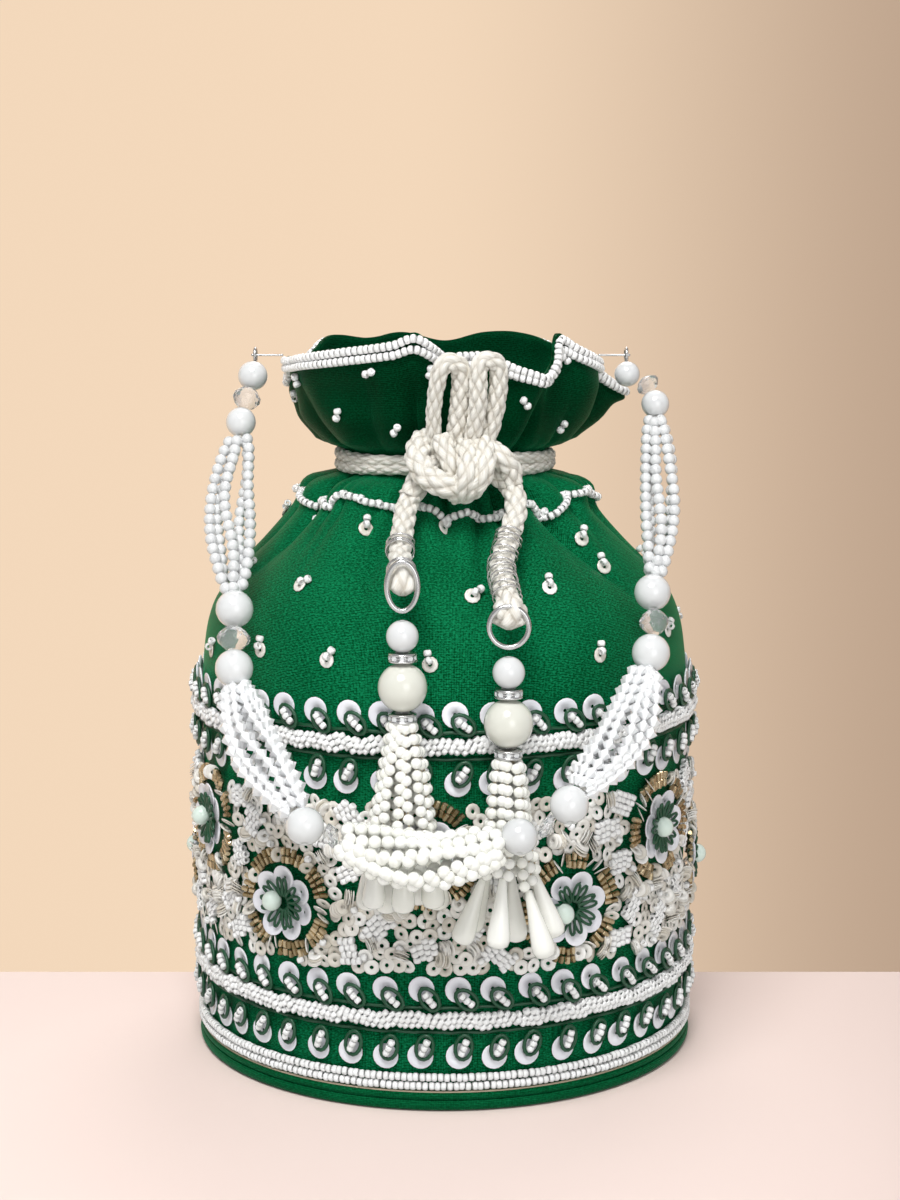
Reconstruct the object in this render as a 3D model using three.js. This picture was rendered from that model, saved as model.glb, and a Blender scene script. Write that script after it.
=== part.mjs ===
// Beaded potli bag: a round silk drawstring pouch on a stiff drum, with a bead-strung wrist handle.
// Millimetres. The origin is the centre of the underside, +Z is up and the front faces -Y.
// Angles around the bag are in degrees: 0 is the front and +90 is the right-hand side (+X).

import * as THREE from 'three';
import { mergeVertices } from 'three/addons/utils/BufferGeometryUtils.js';

// Driving dimensions of the bag.
const wallRadius = 69;
const wallTop = 104;
const clothThickness = 1.2;
const neckHeight = 165.8;
const neckRadius = 27.3;
const columns = 40;
const pleatDepth = 0.9;
const gap = 0.3;

// Base and lining.
const coverThickness = 1.2;
const coverSetback = 0.4;
const coverRadius = wallRadius - coverSetback;
const boardThickness = 2;
const boardClearance = 0.4;
const boardRadius = wallRadius - clothThickness - boardClearance;
const clothBottom = coverThickness + gap;
const innerBottom = clothBottom + boardThickness + gap;
const stiffenerThickness = 1.2;
const liningThickness = 1;
const liningTop = 106;
const rimHeight = 5.2;
const rimThickness = 1.9;
const rimLift = 0.3;

// Shoulder outline: outer radius at each height, from the wall to the neck.
const shoulder = [
  [clothBottom, wallRadius], [wallTop, wallRadius], [113, 68.3], [121, 66.7], [128, 63.8],
  [135.5, 58.8], [143, 52.2], [150, 45.8], [156.4, 39.6], [160.2, 35], [162.4, 29.9], [neckHeight, neckRadius],
];

// Ruffle above the neck: height and the share of the way from the neck radius to the rim radius.
const ruffleRows = [[169.2, 0.12], [171.6, 0.4], [175.2, 0.7], [180, 0.93]];

// Ruffle rim as it stands gathered: angle, radius and height.
const rim = [
  [-180, 40, 198], [-162, 43, 200.5], [-144, 41, 199], [-126, 44, 199.5], [-108, 44, 197],
  [-90, 46, 194], [-72, 45.6, 194.8], [-54, 45.4, 196.4], [-36, 45, 198.3], [-18, 44.2, 200.5],
  [-9, 43.5, 201.8], [0, 37.5, 200.5], [9, 34.6, 197], [22, 35.6, 196.6], [30, 39, 193.8],
  [36, 42.5, 191.6], [45, 41.5, 193], [54, 39.5, 201.2], [63, 42, 198.2], [72, 43.2, 195.4],
  [81, 43.8, 194], [90, 43.8, 193.2], [99, 53.5, 184.8], [108, 52, 187.5], [117, 48, 192],
  [126, 45, 196], [144, 43, 200.3], [162, 42, 200.6], [180, 40, 198],
];

// Bands of beadwork, stacked up the wall from the base rim. Each has a height of its own.
const trimStart = wallRadius + gap;
const bandGap = 0.5;
const beadRows = { low: rimHeight + bandGap };
const beadRowsHeight = 4.8;
beadRows.high = beadRows.low + beadRowsHeight;
const hemDiscs = { low: beadRows.high + bandGap };
const hemDiscsHeight = 10.4;
hemDiscs.high = hemDiscs.low + hemDiscsHeight;
const hemRope = { low: hemDiscs.high + bandGap };
const hemRopeHeight = 5.8;
hemRope.high = hemRope.low + hemRopeHeight;
const risingDiscs = { low: hemRope.high + bandGap };
const risingDiscsHeight = 8.5;
risingDiscs.high = risingDiscs.low + risingDiscsHeight;
const field = { low: risingDiscs.high + bandGap };
const fieldHeight = 46.3;
field.high = field.low + fieldHeight;
const fallingDiscs = { low: field.high + bandGap };
const fallingDiscsHeight = 9.9;
fallingDiscs.high = fallingDiscs.low + fallingDiscsHeight;
const topRope = { low: fallingDiscs.high + bandGap };
const topRopeHeight = 6.3;
topRope.high = topRope.low + topRopeHeight;
const crownDiscs = { low: topRope.high + bandGap };
const crownDiscsHeight = 7.8;
crownDiscs.high = crownDiscs.low + crownDiscsHeight;
const discCount = 52;
const discDepth = 1.7;
const valleyDepth = 3.2;
const ropeDepth = 3;
const beadBump = 1.9;
const beadValley = 1.3;
const fieldDepth = 1.4;

// Ten flowers stand out of the field: angle of each centre, its height up the field, and how far aside its pearl sits.
const highFlower = 33.3;
const lowFlower = 19.2;
const flowers = [
  [-77, highFlower, -3], [-42, lowFlower, -3], [-5, highFlower, 4.5], [29, lowFlower, -3], [62, highFlower, -1],
  [97, lowFlower, -3], [133, highFlower, 0], [169, lowFlower, -3], [-155, highFlower, 1], [-118, lowFlower, -3],
];
const petalRadius = 8.8;
const petalRelief = 1.5;
const cutBeadRadius = 13.8;
const cutBeadRelief = 0.9;
const pearlSeatRadius = 4;
const pearlSeatRelief = 2.6;

// Leaf shapes of seed beads: angle from a flower and height up the field, then the ones halfway to the next flower.
const leafRadius = 4.4;
const leafRelief = 1.2;
const leavesUnderHigh = [[0, 6], [-9.5, 12], [9.5, 12]];
const leavesOverLow = [[0, 41], [-9.5, 35.5], [9.5, 35.5]];
const leavesBetween = [5, 26, 42];
const fieldColumns = 120;
const fieldRowCount = 16;

// Beads sewn along the gathers and along the ruffle's rim.
const shoulderLineDrop = 12;
const shoulderLineWave = 2;
const shoulderLineDepth = 1.4;
const shoulderLineClearance = 0.5;
const rimRowsHeight = 3.4;
const rimRowsDepth = 1.6;
const rimRowsClearance = 0.4;

// Drawstring and its bow.
const cordRadius = 2.2;
const tailRadius = 3.2;
const neckCord = { radius: 31.3, height: 165.8, halfWidth: 2, halfHeight: 2.5 };
const knot = { x: 2.8, y: -38.1, z: 165.6, halfWidth: 9.4, halfDepth: 4.6, halfHeight: 6.4 };
const leftLoop = [[-2.2, -41.5, 170.3], [-2.6, -46.6, 183], [0.2, -49.4, 194.4], [4, -47.6, 193.4],
  [4.2, -44.6, 184], [2.5, -41.1, 171.6]];
const rightLoop = [[7, -41.4, 170.6], [8.8, -47.2, 183], [9.8, -48.8, 194.8], [13.6, -47.4, 194.4],
  [13.8, -44.8, 184], [10.1, -40.6, 169.8]];
const leftTail = [[-6.3, -40.2, 162.8], [-9.4, -44.4, 157.8], [-10.6, -51.6, 152.2], [-11.3, -59.4, 146.4],
  [-10.9, -67.8, 143.4], [-10.4, -72.6, 140.8], [-10.4, -72.9, 137]];
const rightTail = [[12.8, -40.4, 165.6], [17.6, -41.6, 161.8], [19, -45.6, 156.4], [16.8, -53, 149.2],
  [14.8, -60, 142.6], [15.6, -67.4, 138.2], [16.5, -72.7, 133.8], [16.5, -73, 128.4]];

// Tassels: distance of each piece below the swing axis, and its size.
const leftTassel = { x: -10.4, y: -76, z: 133.6, ring: 3.9, ringTall: 6.2, fringe: 50.5 };
const rightTassel = { x: 16.4, y: -76.2, z: 124.4, ring: 5, ringTall: 5.2, fringe: 50.5 };
const eyeRadius = 1.5;
const eyeWire = 0.5;
const ringWire = 0.7;
const smallPearl = 8.3;
const largePearl = 12.6;
const strassWidth = 7.4;
const strassHeight = 2.3;
const fringeBeads = 10;
const fringeHalfWidth = 8;
const fringeHalfDepth = 3.6;
const fringeTopScale = 0.42;
const fringeLean = 2.2;

// Handle: a chain hung from two pins. Each place is x and the distance down the hanging plane.
const hingeY = -2;
const hingeZ = 195;
const hangSlope = 0.75;
const pinRadius = 0.7;
const pinLength = 11;
const endLoopRadius = 1.9;
const endLoopWire = 0.5;

// The handle's pieces in order: name, kind, x, distance down the plane, diameter and thickness.
const chain = [
  ['left_1', 'pearl', -53.4, 7, 8.3], ['left_2', 'crystal', -54.8, 14.6, 7.8, 6.8],
  ['left_3', 'pearl', -56, 22.4, 8.3], ['left_4', 'pearl', -55, 80.9, 10], ['left_5', 'crystal', -54.9, 89.6, 8.8, 6.7],
  ['left_6', 'pearl', -54.3, 98.3, 10], ['left_7', 'pearl', -34.6, 142.4, 9.7],
  ['left_8', 'crystal', -27.9, 145, 6.4, 3.4], ['right_8', 'pearl', 18.8, 145.2, 9.3],
  ['right_7', 'crystal', 25.7, 142.5, 6.4, 3.2], ['right_6', 'pearl', 31.5, 136.6, 9.9],
  ['right_5', 'pearl', 53.8, 93.8, 10], ['right_4', 'crystal', 55, 84.75, 7.8, 7], ['right_3', 'pearl', 55, 75.9, 9.7],
  ['right_2', 'pearl', 58.4, 16.4, 7.8], ['right_1', 'crystal', 56.6, 10, 6.8, 4.6], ['right_0', 'pearl', 51, 6.4, 7.1],
];
const crystalTurns = { left_2: 0.2, left_5: 0, left_8: 1.35, right_7: -1.05, right_4: -0.08, right_1: -0.6 };

// Bundles of strands between them: kind, route in the plane, beads on a strand, half width and half depth.
const bundles = [
  ['strands_left', 'pearl', [[-56, 26.9], [-57.4, 52], [-55.6, 75.6]], 12, 7.6, 3.8],
  ['strands_right', 'pearl', [[58.2, 20.7], [58.6, 46], [56, 70.8]], 12, 7.2, 3.8],
  ['strands_centre', 'pearl', [[-25.4, 146], [-5.4, 151.2], [14.1, 147.5]], 12, 7.6, 3.6],
  ['crystals_left', 'crystal', [[-53.7, 103.4], [-47.6, 121], [-36.9, 137.9]], 7, 7.2, 3.8],
  ['crystals_right', 'crystal', [[34.4, 132.2], [46, 117], [52.55, 98.6]], 7, 7.2, 3.8],
];
const bundleEndScale = 0.42;
const leftPinX = -50.6;
const rightPinX = 48.6;
const leftLoopX = -53;
const rightLoopX = 51;

const silk = new THREE.MeshStandardMaterial({ color: 0x0b6b38, roughness: 0.45, metalness: 0 });
const darkSilk = new THREE.MeshStandardMaterial({ color: 0x0a4426, roughness: 0.6, metalness: 0 });
const board = new THREE.MeshStandardMaterial({ color: 0xb9a888, roughness: 0.9, metalness: 0 });
const seedBead = new THREE.MeshStandardMaterial({ color: 0xf0ece0, roughness: 0.25, metalness: 0 });
const sequin = new THREE.MeshStandardMaterial({ color: 0xe6e4ee, roughness: 0.25, metalness: 0.1 });
const floral = new THREE.MeshStandardMaterial({ color: 0xc9bda0, roughness: 0.35, metalness: 0.1 });
const cream = new THREE.MeshStandardMaterial({ color: 0xe4dac4, roughness: 0.7, metalness: 0 });
const pearl = new THREE.MeshStandardMaterial({ color: 0xf4f1ec, roughness: 0.18, metalness: 0 });
const ivory = new THREE.MeshStandardMaterial({ color: 0xe9e4cb, roughness: 0.22, metalness: 0 });
const crystal = new THREE.MeshStandardMaterial({ color: 0xdfe6e6, roughness: 0.05, metalness: 0 });
const silver = new THREE.MeshStandardMaterial({ color: 0xc4c4c2, roughness: 0.25, metalness: 1 });

const bag = new THREE.Group();
const handle = new THREE.Group();
handle.position.set(0, hingeY, hingeZ);
handle.rotation.x = -Math.atan(hangSlope);
bag.add(handle);

function addMesh(parent, name, geometry, material) {
  const mesh = new THREE.Mesh(geometry, material);
  mesh.name = name;
  parent.add(mesh);
  return mesh;
}

// Turns a closed mesh inside out when its faces point in.
function facingOut(geometry) {
  const index = geometry.getIndex().array;
  const at = geometry.getAttribute('position');
  const a = new THREE.Vector3();
  const b = new THREE.Vector3();
  const c = new THREE.Vector3();
  let volume = 0;
  for (let i = 0; i < index.length; i += 3) {
    a.fromBufferAttribute(at, index[i]);
    b.fromBufferAttribute(at, index[i + 1]);
    c.fromBufferAttribute(at, index[i + 2]);
    volume += a.dot(b.clone().cross(c));
  }
  if (volume < 0) {
    for (let i = 0; i < index.length; i += 3) {
      [index[i], index[i + 1]] = [index[i + 1], index[i]];
    }
  }
  return geometry;
}

function indexed(points, triangles) {
  const geometry = new THREE.BufferGeometry();
  geometry.setAttribute('position', new THREE.Float32BufferAttribute(points.flat(), 3));
  geometry.setIndex(triangles);
  return facingOut(geometry);
}

function around(angle, radius, height) {
  const turn = THREE.MathUtils.degToRad(angle);
  return [radius * Math.sin(turn), -radius * Math.cos(turn), height];
}

// A closed ring about the bag's axis. section(angle, column) gives its outline as [radius, height] pairs.
function ringSolid(count, section) {
  const points = [];
  const triangles = [];
  let size = 0;
  for (let column = 0; column < count; column += 1) {
    const angle = -180 + (360 * column) / count;
    const outline = section(angle, column);
    size = outline.length;
    outline.forEach(([radius, height]) => points.push(around(angle, radius, height)));
  }
  for (let column = 0; column < count; column += 1) {
    const next = (column + 1) % count;
    for (let row = 0; row < size; row += 1) {
      const up = (row + 1) % size;
      const a = column * size + row;
      const b = next * size + row;
      const c = next * size + up;
      const d = column * size + up;
      triangles.push(a, b, c, a, c, d);
    }
  }
  return indexed(points, triangles);
}

// A closed tube of rings with the same number of points each, capped at both ends by its centres.
function cappedLoft(rings, startCentre, endCentre) {
  const size = rings[0].length;
  const points = rings.flat();
  const first = points.length;
  points.push(startCentre, endCentre);
  const triangles = [];
  for (let ring = 0; ring + 1 < rings.length; ring += 1) {
    for (let k = 0; k < size; k += 1) {
      const a = ring * size + k;
      const b = ring * size + ((k + 1) % size);
      triangles.push(a, b, b + size, a, b + size, a + size);
    }
  }
  const last = (rings.length - 1) * size;
  for (let k = 0; k < size; k += 1) {
    const next = (k + 1) % size;
    triangles.push(first, next, k, first + 1, last + k, last + next);
  }
  return indexed(points, triangles);
}

function between(table, key, value) {
  let i = 0;
  while (i + 2 < table.length && table[i + 1][0] < key) {
    i += 1;
  }
  const share = (key - table[i][0]) / (table[i + 1][0] - table[i][0]);
  return THREE.MathUtils.lerp(table[i][value], table[i + 1][value], THREE.MathUtils.clamp(share, 0, 1));
}

function pleat(height, column) {
  const strength = THREE.MathUtils.smoothstep(height, 121, 157);
  return (column % 2 === 0 ? 1 : -1) * pleatDepth * strength;
}

// The cloth's outer surface above one angle, as [radius, height] pairs from the bottom edge to the rim.
function clothLine(angle, column) {
  const rimRadius = between(rim, angle, 1);
  const rimHeightHere = between(rim, angle, 2);
  const line = shoulder.map(([height, radius]) => [radius + pleat(height, column), height]);
  const open = rimRadius - neckRadius;
  ruffleRows.forEach(([height, share]) => {
    line.push([neckRadius + open * share + pleat(height, column), height]);
  });
  const middle = (ruffleRows[ruffleRows.length - 1][0] + rimHeightHere) / 2;
  line.push([rimRadius + pleat(middle, column), middle]);
  line.push([rimRadius + pleat(rimHeightHere, column), rimHeightHere]);
  return line;
}

function clothRadius(angle, column, height) {
  const line = clothLine(angle, column);
  let i = 0;
  while (i + 2 < line.length && line[i + 1][1] < height) {
    i += 1;
  }
  const share = (height - line[i][1]) / (line[i + 1][1] - line[i][1]);
  return THREE.MathUtils.lerp(line[i][0], line[i + 1][0], share);
}

function turned(profile, segments) {
  const geometry = new THREE.LatheGeometry(profile.map(([r, z]) => new THREE.Vector2(r, z)), segments);
  geometry.rotateX(Math.PI / 2);
  geometry.deleteAttribute('normal');
  geometry.deleteAttribute('uv');
  return facingOut(mergeVertices(geometry));
}

function ball(diameter) {
  const geometry = new THREE.SphereGeometry(diameter / 2, 8, 6);
  geometry.deleteAttribute('normal');
  geometry.deleteAttribute('uv');
  return facingOut(mergeVertices(geometry));
}

// A faceted bead or stone ring whose hole runs along its own Z.
function rondelle(width, height) {
  const flat = height / 2;
  return turned([[0, -flat], [width * 0.28, -flat], [width / 2, -height * 0.12], [width / 2, height * 0.12],
    [width * 0.28, flat], [0, flat]], 8);
}

// A pearl with a ring of stones threaded under it. Its origin is halfway up the pair.
function pearlOnStones(diameter, width, height) {
  const radius = diameter / 2;
  const centre = height / 2;
  const profile = [[0, -(radius + centre)], [width * 0.28, -(radius + centre)],
    [width / 2, -radius - centre * 0.24], [width / 2, -radius + centre * 0.24]];
  for (let k = 1; k < 6; k += 1) {
    const turn = -Math.PI / 2 + (Math.PI * k) / 6;
    profile.push([radius * Math.cos(turn), centre + radius * Math.sin(turn)]);
  }
  profile.push([0, centre + radius]);
  return turned(profile, 8);
}

function wireRing(radius, wire, segments, tall = radius) {
  const geometry = new THREE.TorusGeometry(radius, wire, 6, segments);
  const places = geometry.getAttribute('position');
  for (let k = 0; k < places.count; k += 1) {
    const aside = Math.hypot(places.getX(k), places.getY(k));
    places.setY(k, places.getY(k) + ((tall - radius) * places.getY(k)) / aside);
  }
  geometry.deleteAttribute('normal');
  geometry.deleteAttribute('uv');
  return facingOut(mergeVertices(geometry));
}

function cord(route, radius, sides, steps) {
  const curve = new THREE.CatmullRomCurve3(route.map((p) => new THREE.Vector3(...p)), false, 'centripetal');
  const section = new THREE.Shape();
  for (let k = 0; k < sides; k += 1) {
    const turn = (2 * Math.PI * k) / sides;
    const x = radius * Math.cos(turn);
    const y = radius * Math.sin(turn);
    if (k === 0) {
      section.moveTo(x, y);
    } else {
      section.lineTo(x, y);
    }
  }
  section.closePath();
  const geometry = new THREE.ExtrudeGeometry(section, { steps, extrudePath: curve, bevelEnabled: false });
  geometry.deleteAttribute('normal');
  geometry.deleteAttribute('uv');
  return facingOut(mergeVertices(geometry, 1e-3));
}

// Strands of round or cut beads lying side by side, fused into one bumpy body along a gentle curve.
function strandBundle(route, beads, halfWidth, halfDepth, swellAt) {
  const curve = new THREE.CatmullRomCurve3(route.map((p) => new THREE.Vector3(...p)), false, 'centripetal');
  const depth = new THREE.Vector3(0, 1, 0);
  const lobes = 8;
  const rings = [];
  const count = beads * 2;
  for (let i = 0; i <= count; i += 1) {
    const share = i / count;
    const centre = curve.getPointAt(share);
    const along = curve.getTangentAt(share);
    const side = new THREE.Vector3().crossVectors(along, depth).normalize();
    const swell = swellAt(share);
    const bump = i % 2 === 0 ? 0.82 : 1;
    const ring = [];
    for (let k = 0; k < lobes; k += 1) {
      const turn = (2 * Math.PI * k) / lobes;
      const lobe = k % 2 === 0 ? 1 : 0.86;
      const across = halfWidth * swell * bump * lobe * Math.cos(turn);
      const deep = halfDepth * swell * bump * lobe * Math.sin(turn);
      ring.push(centre.clone().addScaledVector(side, across).addScaledVector(depth, deep).toArray());
    }
    rings.push(ring);
  }
  return cappedLoft(rings, curve.getPointAt(0).toArray(), curve.getPointAt(1).toArray());
}

// Strands that part between two ends, and strands that spread as they hang.
function parting(share) {
  return bundleEndScale + (1 - bundleEndScale) * Math.sqrt(Math.sin(Math.PI * share));
}

function spreading(share) {
  return fringeTopScale + (1 - fringeTopScale) * Math.min(1, share * 1.5) ** 0.8;
}

// Base, stiff wall and lining.
addMesh(bag, 'base_cover', turned([[0, 0], [coverRadius, 0], [coverRadius, coverThickness],
  [0, coverThickness]], columns), silk);
addMesh(bag, 'base_board', turned([[0, clothBottom], [boardRadius, clothBottom],
  [boardRadius, clothBottom + boardThickness], [0, clothBottom + boardThickness]], columns), board);
addMesh(bag, 'base_rim', ringSolid(columns, () => [[trimStart, rimLift], [trimStart + rimThickness * 0.8, rimLift],
  [trimStart + rimThickness, rimHeight / 2], [trimStart + rimThickness * 0.8, rimHeight],
  [trimStart, rimHeight]]), silk);
const stiffenerOuter = wallRadius - clothThickness - gap;
addMesh(bag, 'wall_stiffener', ringSolid(columns, () => [[stiffenerOuter, innerBottom], [stiffenerOuter, wallTop],
  [stiffenerOuter - stiffenerThickness, wallTop], [stiffenerOuter - stiffenerThickness, innerBottom]]), board);
const liningOuter = stiffenerOuter - stiffenerThickness - gap;
const liningInner = liningOuter - liningThickness;
addMesh(bag, 'lining', turned([[0, innerBottom], [liningOuter, innerBottom], [liningOuter, liningTop],
  [liningInner, liningTop], [liningInner, innerBottom + liningThickness], [0, innerBottom + liningThickness]],
columns), darkSilk);

// The gathered silk: one cloth from the base over the shoulder, through the neck and up to the rim.
addMesh(bag, 'silk_shell', ringSolid(columns, (angle, column) => {
  const outside = clothLine(angle, column);
  const inside = outside.map(([radius, height]) => [radius - clothThickness, height]).reverse();
  return [...outside, ...inside];
}), silk);

// Beadwork bands. Each row of discs hangs or rises from a rope of seed beads, with scalloped ends.
function discRow(band, rising) {
  return ringSolid(discCount * 2, (angle, column) => {
    const valley = column % 2 === 0 ? 0 : valleyDepth;
    const low = rising ? band.low : band.low + valley;
    const high = rising ? band.high - valley : band.high;
    return [[trimStart, low], [trimStart + discDepth, (low + high) / 2], [trimStart, high]];
  });
}

function bandProfile(band, crest) {
  const middle = (band.low + band.high) / 2;
  return [[trimStart, band.low], [trimStart + crest * 0.6, band.low + 0.6], [trimStart + crest, middle],
    [trimStart + crest * 0.6, band.high - 0.6], [trimStart, band.high]];
}

addMesh(bag, 'bottom_bead_rows', ringSolid(columns, () => {
  const middle = (beadRows.low + beadRows.high) / 2;
  const crest = beadRowsHeight / 4;
  return [[trimStart, beadRows.low], [trimStart + beadBump, beadRows.low + crest], [trimStart + beadValley, middle],
    [trimStart + beadBump, beadRows.high - crest], [trimStart, beadRows.high]];
}), seedBead);
addMesh(bag, 'hem_disc_row', discRow(hemDiscs, false), sequin);
addMesh(bag, 'hem_bead_rope', ringSolid(columns, () => bandProfile(hemRope, ropeDepth)), seedBead);
addMesh(bag, 'rising_disc_row', discRow(risingDiscs, true), sequin);
addMesh(bag, 'falling_disc_row', discRow(fallingDiscs, false), sequin);
addMesh(bag, 'top_bead_rope', ringSolid(columns, () => bandProfile(topRope, ropeDepth)), seedBead);
addMesh(bag, 'crown_disc_row', discRow(crownDiscs, true), sequin);

const leaves = [];
flowers.forEach(([angle, height], i) => {
  const own = height === highFlower ? leavesUnderHigh : leavesOverLow;
  own.forEach(([turn, up]) => leaves.push([angle + turn, up]));
  const next = flowers[(i + 1) % flowers.length][0];
  const gapAngle = THREE.MathUtils.euclideanModulo(next - angle, 360);
  leavesBetween.forEach((up) => leaves.push([angle + gapAngle / 2, up]));
});

// Distance on the drum between a place and a centre, each given as an angle and a height up the field.
function acrossTheField(angle, height, centreAngle, centreHeight, aside = 0) {
  const turn = THREE.MathUtils.euclideanModulo(angle - centreAngle + 180, 360) - 180;
  return Math.hypot(THREE.MathUtils.degToRad(turn) * wallRadius - aside, height - centreHeight);
}

function crowned(away, radius, relief) {
  return relief * THREE.MathUtils.clamp(1.5 * (1 - (away / radius) ** 2), 0, 1);
}

function fieldRelief(angle, height) {
  let relief = 0;
  flowers.forEach(([flowerAngle, flowerHeight, aside]) => {
    const away = acrossTheField(angle, height, flowerAngle, flowerHeight);
    const fromPearl = acrossTheField(angle, height, flowerAngle, flowerHeight, aside);
    relief = Math.max(relief, crowned(away, petalRadius, petalRelief), crowned(away, cutBeadRadius, cutBeadRelief),
      crowned(fromPearl, pearlSeatRadius, pearlSeatRelief));
  });
  leaves.forEach(([leafAngle, leafHeight]) => {
    const away = acrossTheField(angle, height, leafAngle, leafHeight);
    relief = Math.max(relief, crowned(away, leafRadius, leafRelief));
  });
  return relief;
}

addMesh(bag, 'floral_field', ringSolid(fieldColumns, (angle) => {
  const outline = [];
  for (let row = 0; row <= fieldRowCount; row += 1) {
    const height = (fieldHeight * row) / fieldRowCount;
    outline.push([trimStart + fieldDepth + fieldRelief(angle, height), field.low + height]);
  }
  return [[trimStart, field.low], ...outline, [trimStart, field.high]];
}), floral);

// Beads sewn to the gathered cloth: the scalloped line on the shoulder and the double row on the rim.
addMesh(bag, 'shoulder_bead_line', ringSolid(columns, (angle, column) => {
  const wave = shoulderLineWave * Math.cos(THREE.MathUtils.degToRad(angle * 8));
  const low = neckHeight - shoulderLineDrop + wave - 1;
  const high = low + 2;
  const inLow = clothRadius(angle, column, low) + shoulderLineClearance;
  const inHigh = clothRadius(angle, column, high) + shoulderLineClearance;
  return [[inLow, low], [inLow + shoulderLineDepth, low + 0.2], [inHigh + shoulderLineDepth, high - 0.2],
    [inHigh, high]];
}), seedBead);
addMesh(bag, 'rim_bead_rows', ringSolid(columns, (angle, column) => {
  const line = clothLine(angle, column);
  const [radius, height] = line[line.length - 1];
  const start = radius + rimRowsClearance;
  const end = start + rimRowsDepth;
  return [[start, height - rimRowsHeight], [end, height - rimRowsHeight + 0.4], [end, height - 0.4], [start, height]];
}), seedBead);

// Drawstring: two cords round the neck, a knot in front, two bow loops and two tails.
addMesh(bag, 'neck_cord', ringSolid(columns, () => {
  const points = [];
  for (let k = 0; k < 6; k += 1) {
    const turn = (Math.PI * k) / 3;
    points.push([neckCord.radius + neckCord.halfWidth * Math.cos(turn),
      neckCord.height + neckCord.halfHeight * Math.sin(turn)]);
  }
  return points;
}), cream);
const knotMesh = addMesh(bag, 'bow_knot', ball(2), cream);
knotMesh.scale.set(knot.halfWidth, knot.halfDepth, knot.halfHeight);
knotMesh.position.set(knot.x, knot.y, knot.z);
addMesh(bag, 'bow_loop_left', cord(leftLoop, cordRadius, 8, 14), cream);
addMesh(bag, 'bow_loop_right', cord(rightLoop, cordRadius, 8, 12), cream);
addMesh(bag, 'tail_left', cord(leftTail, tailRadius, 10, 7), cream);
addMesh(bag, 'tail_right', cord(rightTail, tailRadius, 10, 8), cream);

// A tassel hangs from its eye, which closes round the wire ring at the end of the cord.
function buildTassel(side, place) {
  const group = new THREE.Group();
  group.position.set(place.x, place.y, place.z);
  bag.add(group);
  const eye = addMesh(group, `tassel_${side}_eye`, wireRing(eyeRadius, eyeWire, 12), silver);
  eye.rotation.y = Math.PI / 2;
  const pieces = [
    ['small_pearl', pearlOnStones(smallPearl, strassWidth, strassHeight), pearl, smallPearl + strassHeight],
    ['large_pearl', ball(largePearl), ivory, largePearl],
    ['stones', rondelle(strassWidth, strassHeight), silver, strassHeight],
  ];
  let down = -(eyeRadius + eyeWire + gap);
  pieces.forEach(([name, geometry, material, height]) => {
    const piece = addMesh(group, `tassel_${side}_${name}`, geometry, material);
    piece.position.z = down - height / 2;
    down -= height + gap;
  });
  const end = down - place.fringe;
  const fringe = strandBundle([[0, 0, down], [0, -fringeLean * 0.7, (down + end) / 2], [0, -fringeLean, end]],
    fringeBeads, fringeHalfWidth, fringeHalfDepth, spreading);
  addMesh(group, `tassel_${side}_fringe`, fringe, ivory);
}

buildTassel('left', leftTassel);
buildTassel('right', rightTassel);

// Wire rings at the cord ends.
function addEndRing(name, place) {
  const ring = addMesh(bag, name, wireRing(place.ring, ringWire, 12, place.ringTall), silver);
  ring.position.set(place.x, place.y, place.z + place.ringTall);
  ring.rotation.x = Math.PI / 2;
  return ring;
}
addEndRing('end_ring_left', leftTassel);
addEndRing('end_ring_right', rightTassel);

// Pins in the corners of the ruffle carry the handle.
function addPin(name, x) {
  const geometry = new THREE.CylinderGeometry(pinRadius, pinRadius, pinLength, 8);
  geometry.rotateZ(Math.PI / 2);
  geometry.deleteAttribute('normal');
  geometry.deleteAttribute('uv');
  const pin = addMesh(bag, name, facingOut(mergeVertices(geometry)), silver);
  pin.position.set(x, hingeY, hingeZ);
  return pin;
}
addPin('handle_pin_left', leftPinX);
addPin('handle_pin_right', rightPinX);

chain.forEach(([name, kind, x, down, width, height]) => {
  if (kind === 'pearl') {
    addMesh(handle, `handle_pearl_${name}`, ball(width), pearl).position.set(x, 0, -down);
  } else {
    const cut = addMesh(handle, `handle_crystal_${name}`, rondelle(width, height), crystal);
    cut.position.set(x, 0, -down);
    cut.rotation.y = crystalTurns[name];
  }
});

bundles.forEach(([name, kind, route, beads, halfWidth, halfDepth]) => {
  const inPlane = route.map(([x, down]) => [x, 0, -down]);
  const shape = strandBundle(inPlane, beads, halfWidth, halfDepth, parting);
  addMesh(handle, `handle_${name}`, shape, kind === 'pearl' ? pearl : crystal);
});

// End loops close round the pins.
function addEndLoop(name, x) {
  const loop = addMesh(handle, name, wireRing(endLoopRadius, endLoopWire, 12), silver);
  loop.position.x = x;
  loop.rotation.y = Math.PI / 2;
  return loop;
}
addEndLoop('handle_loop_left', leftLoopX);
addEndLoop('handle_loop_right', rightLoopX);

export default bag;
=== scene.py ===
"""The looks of a silk drawstring pouch sewn with beads. Metres, +Z up, the front faces -Y."""

import math

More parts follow.
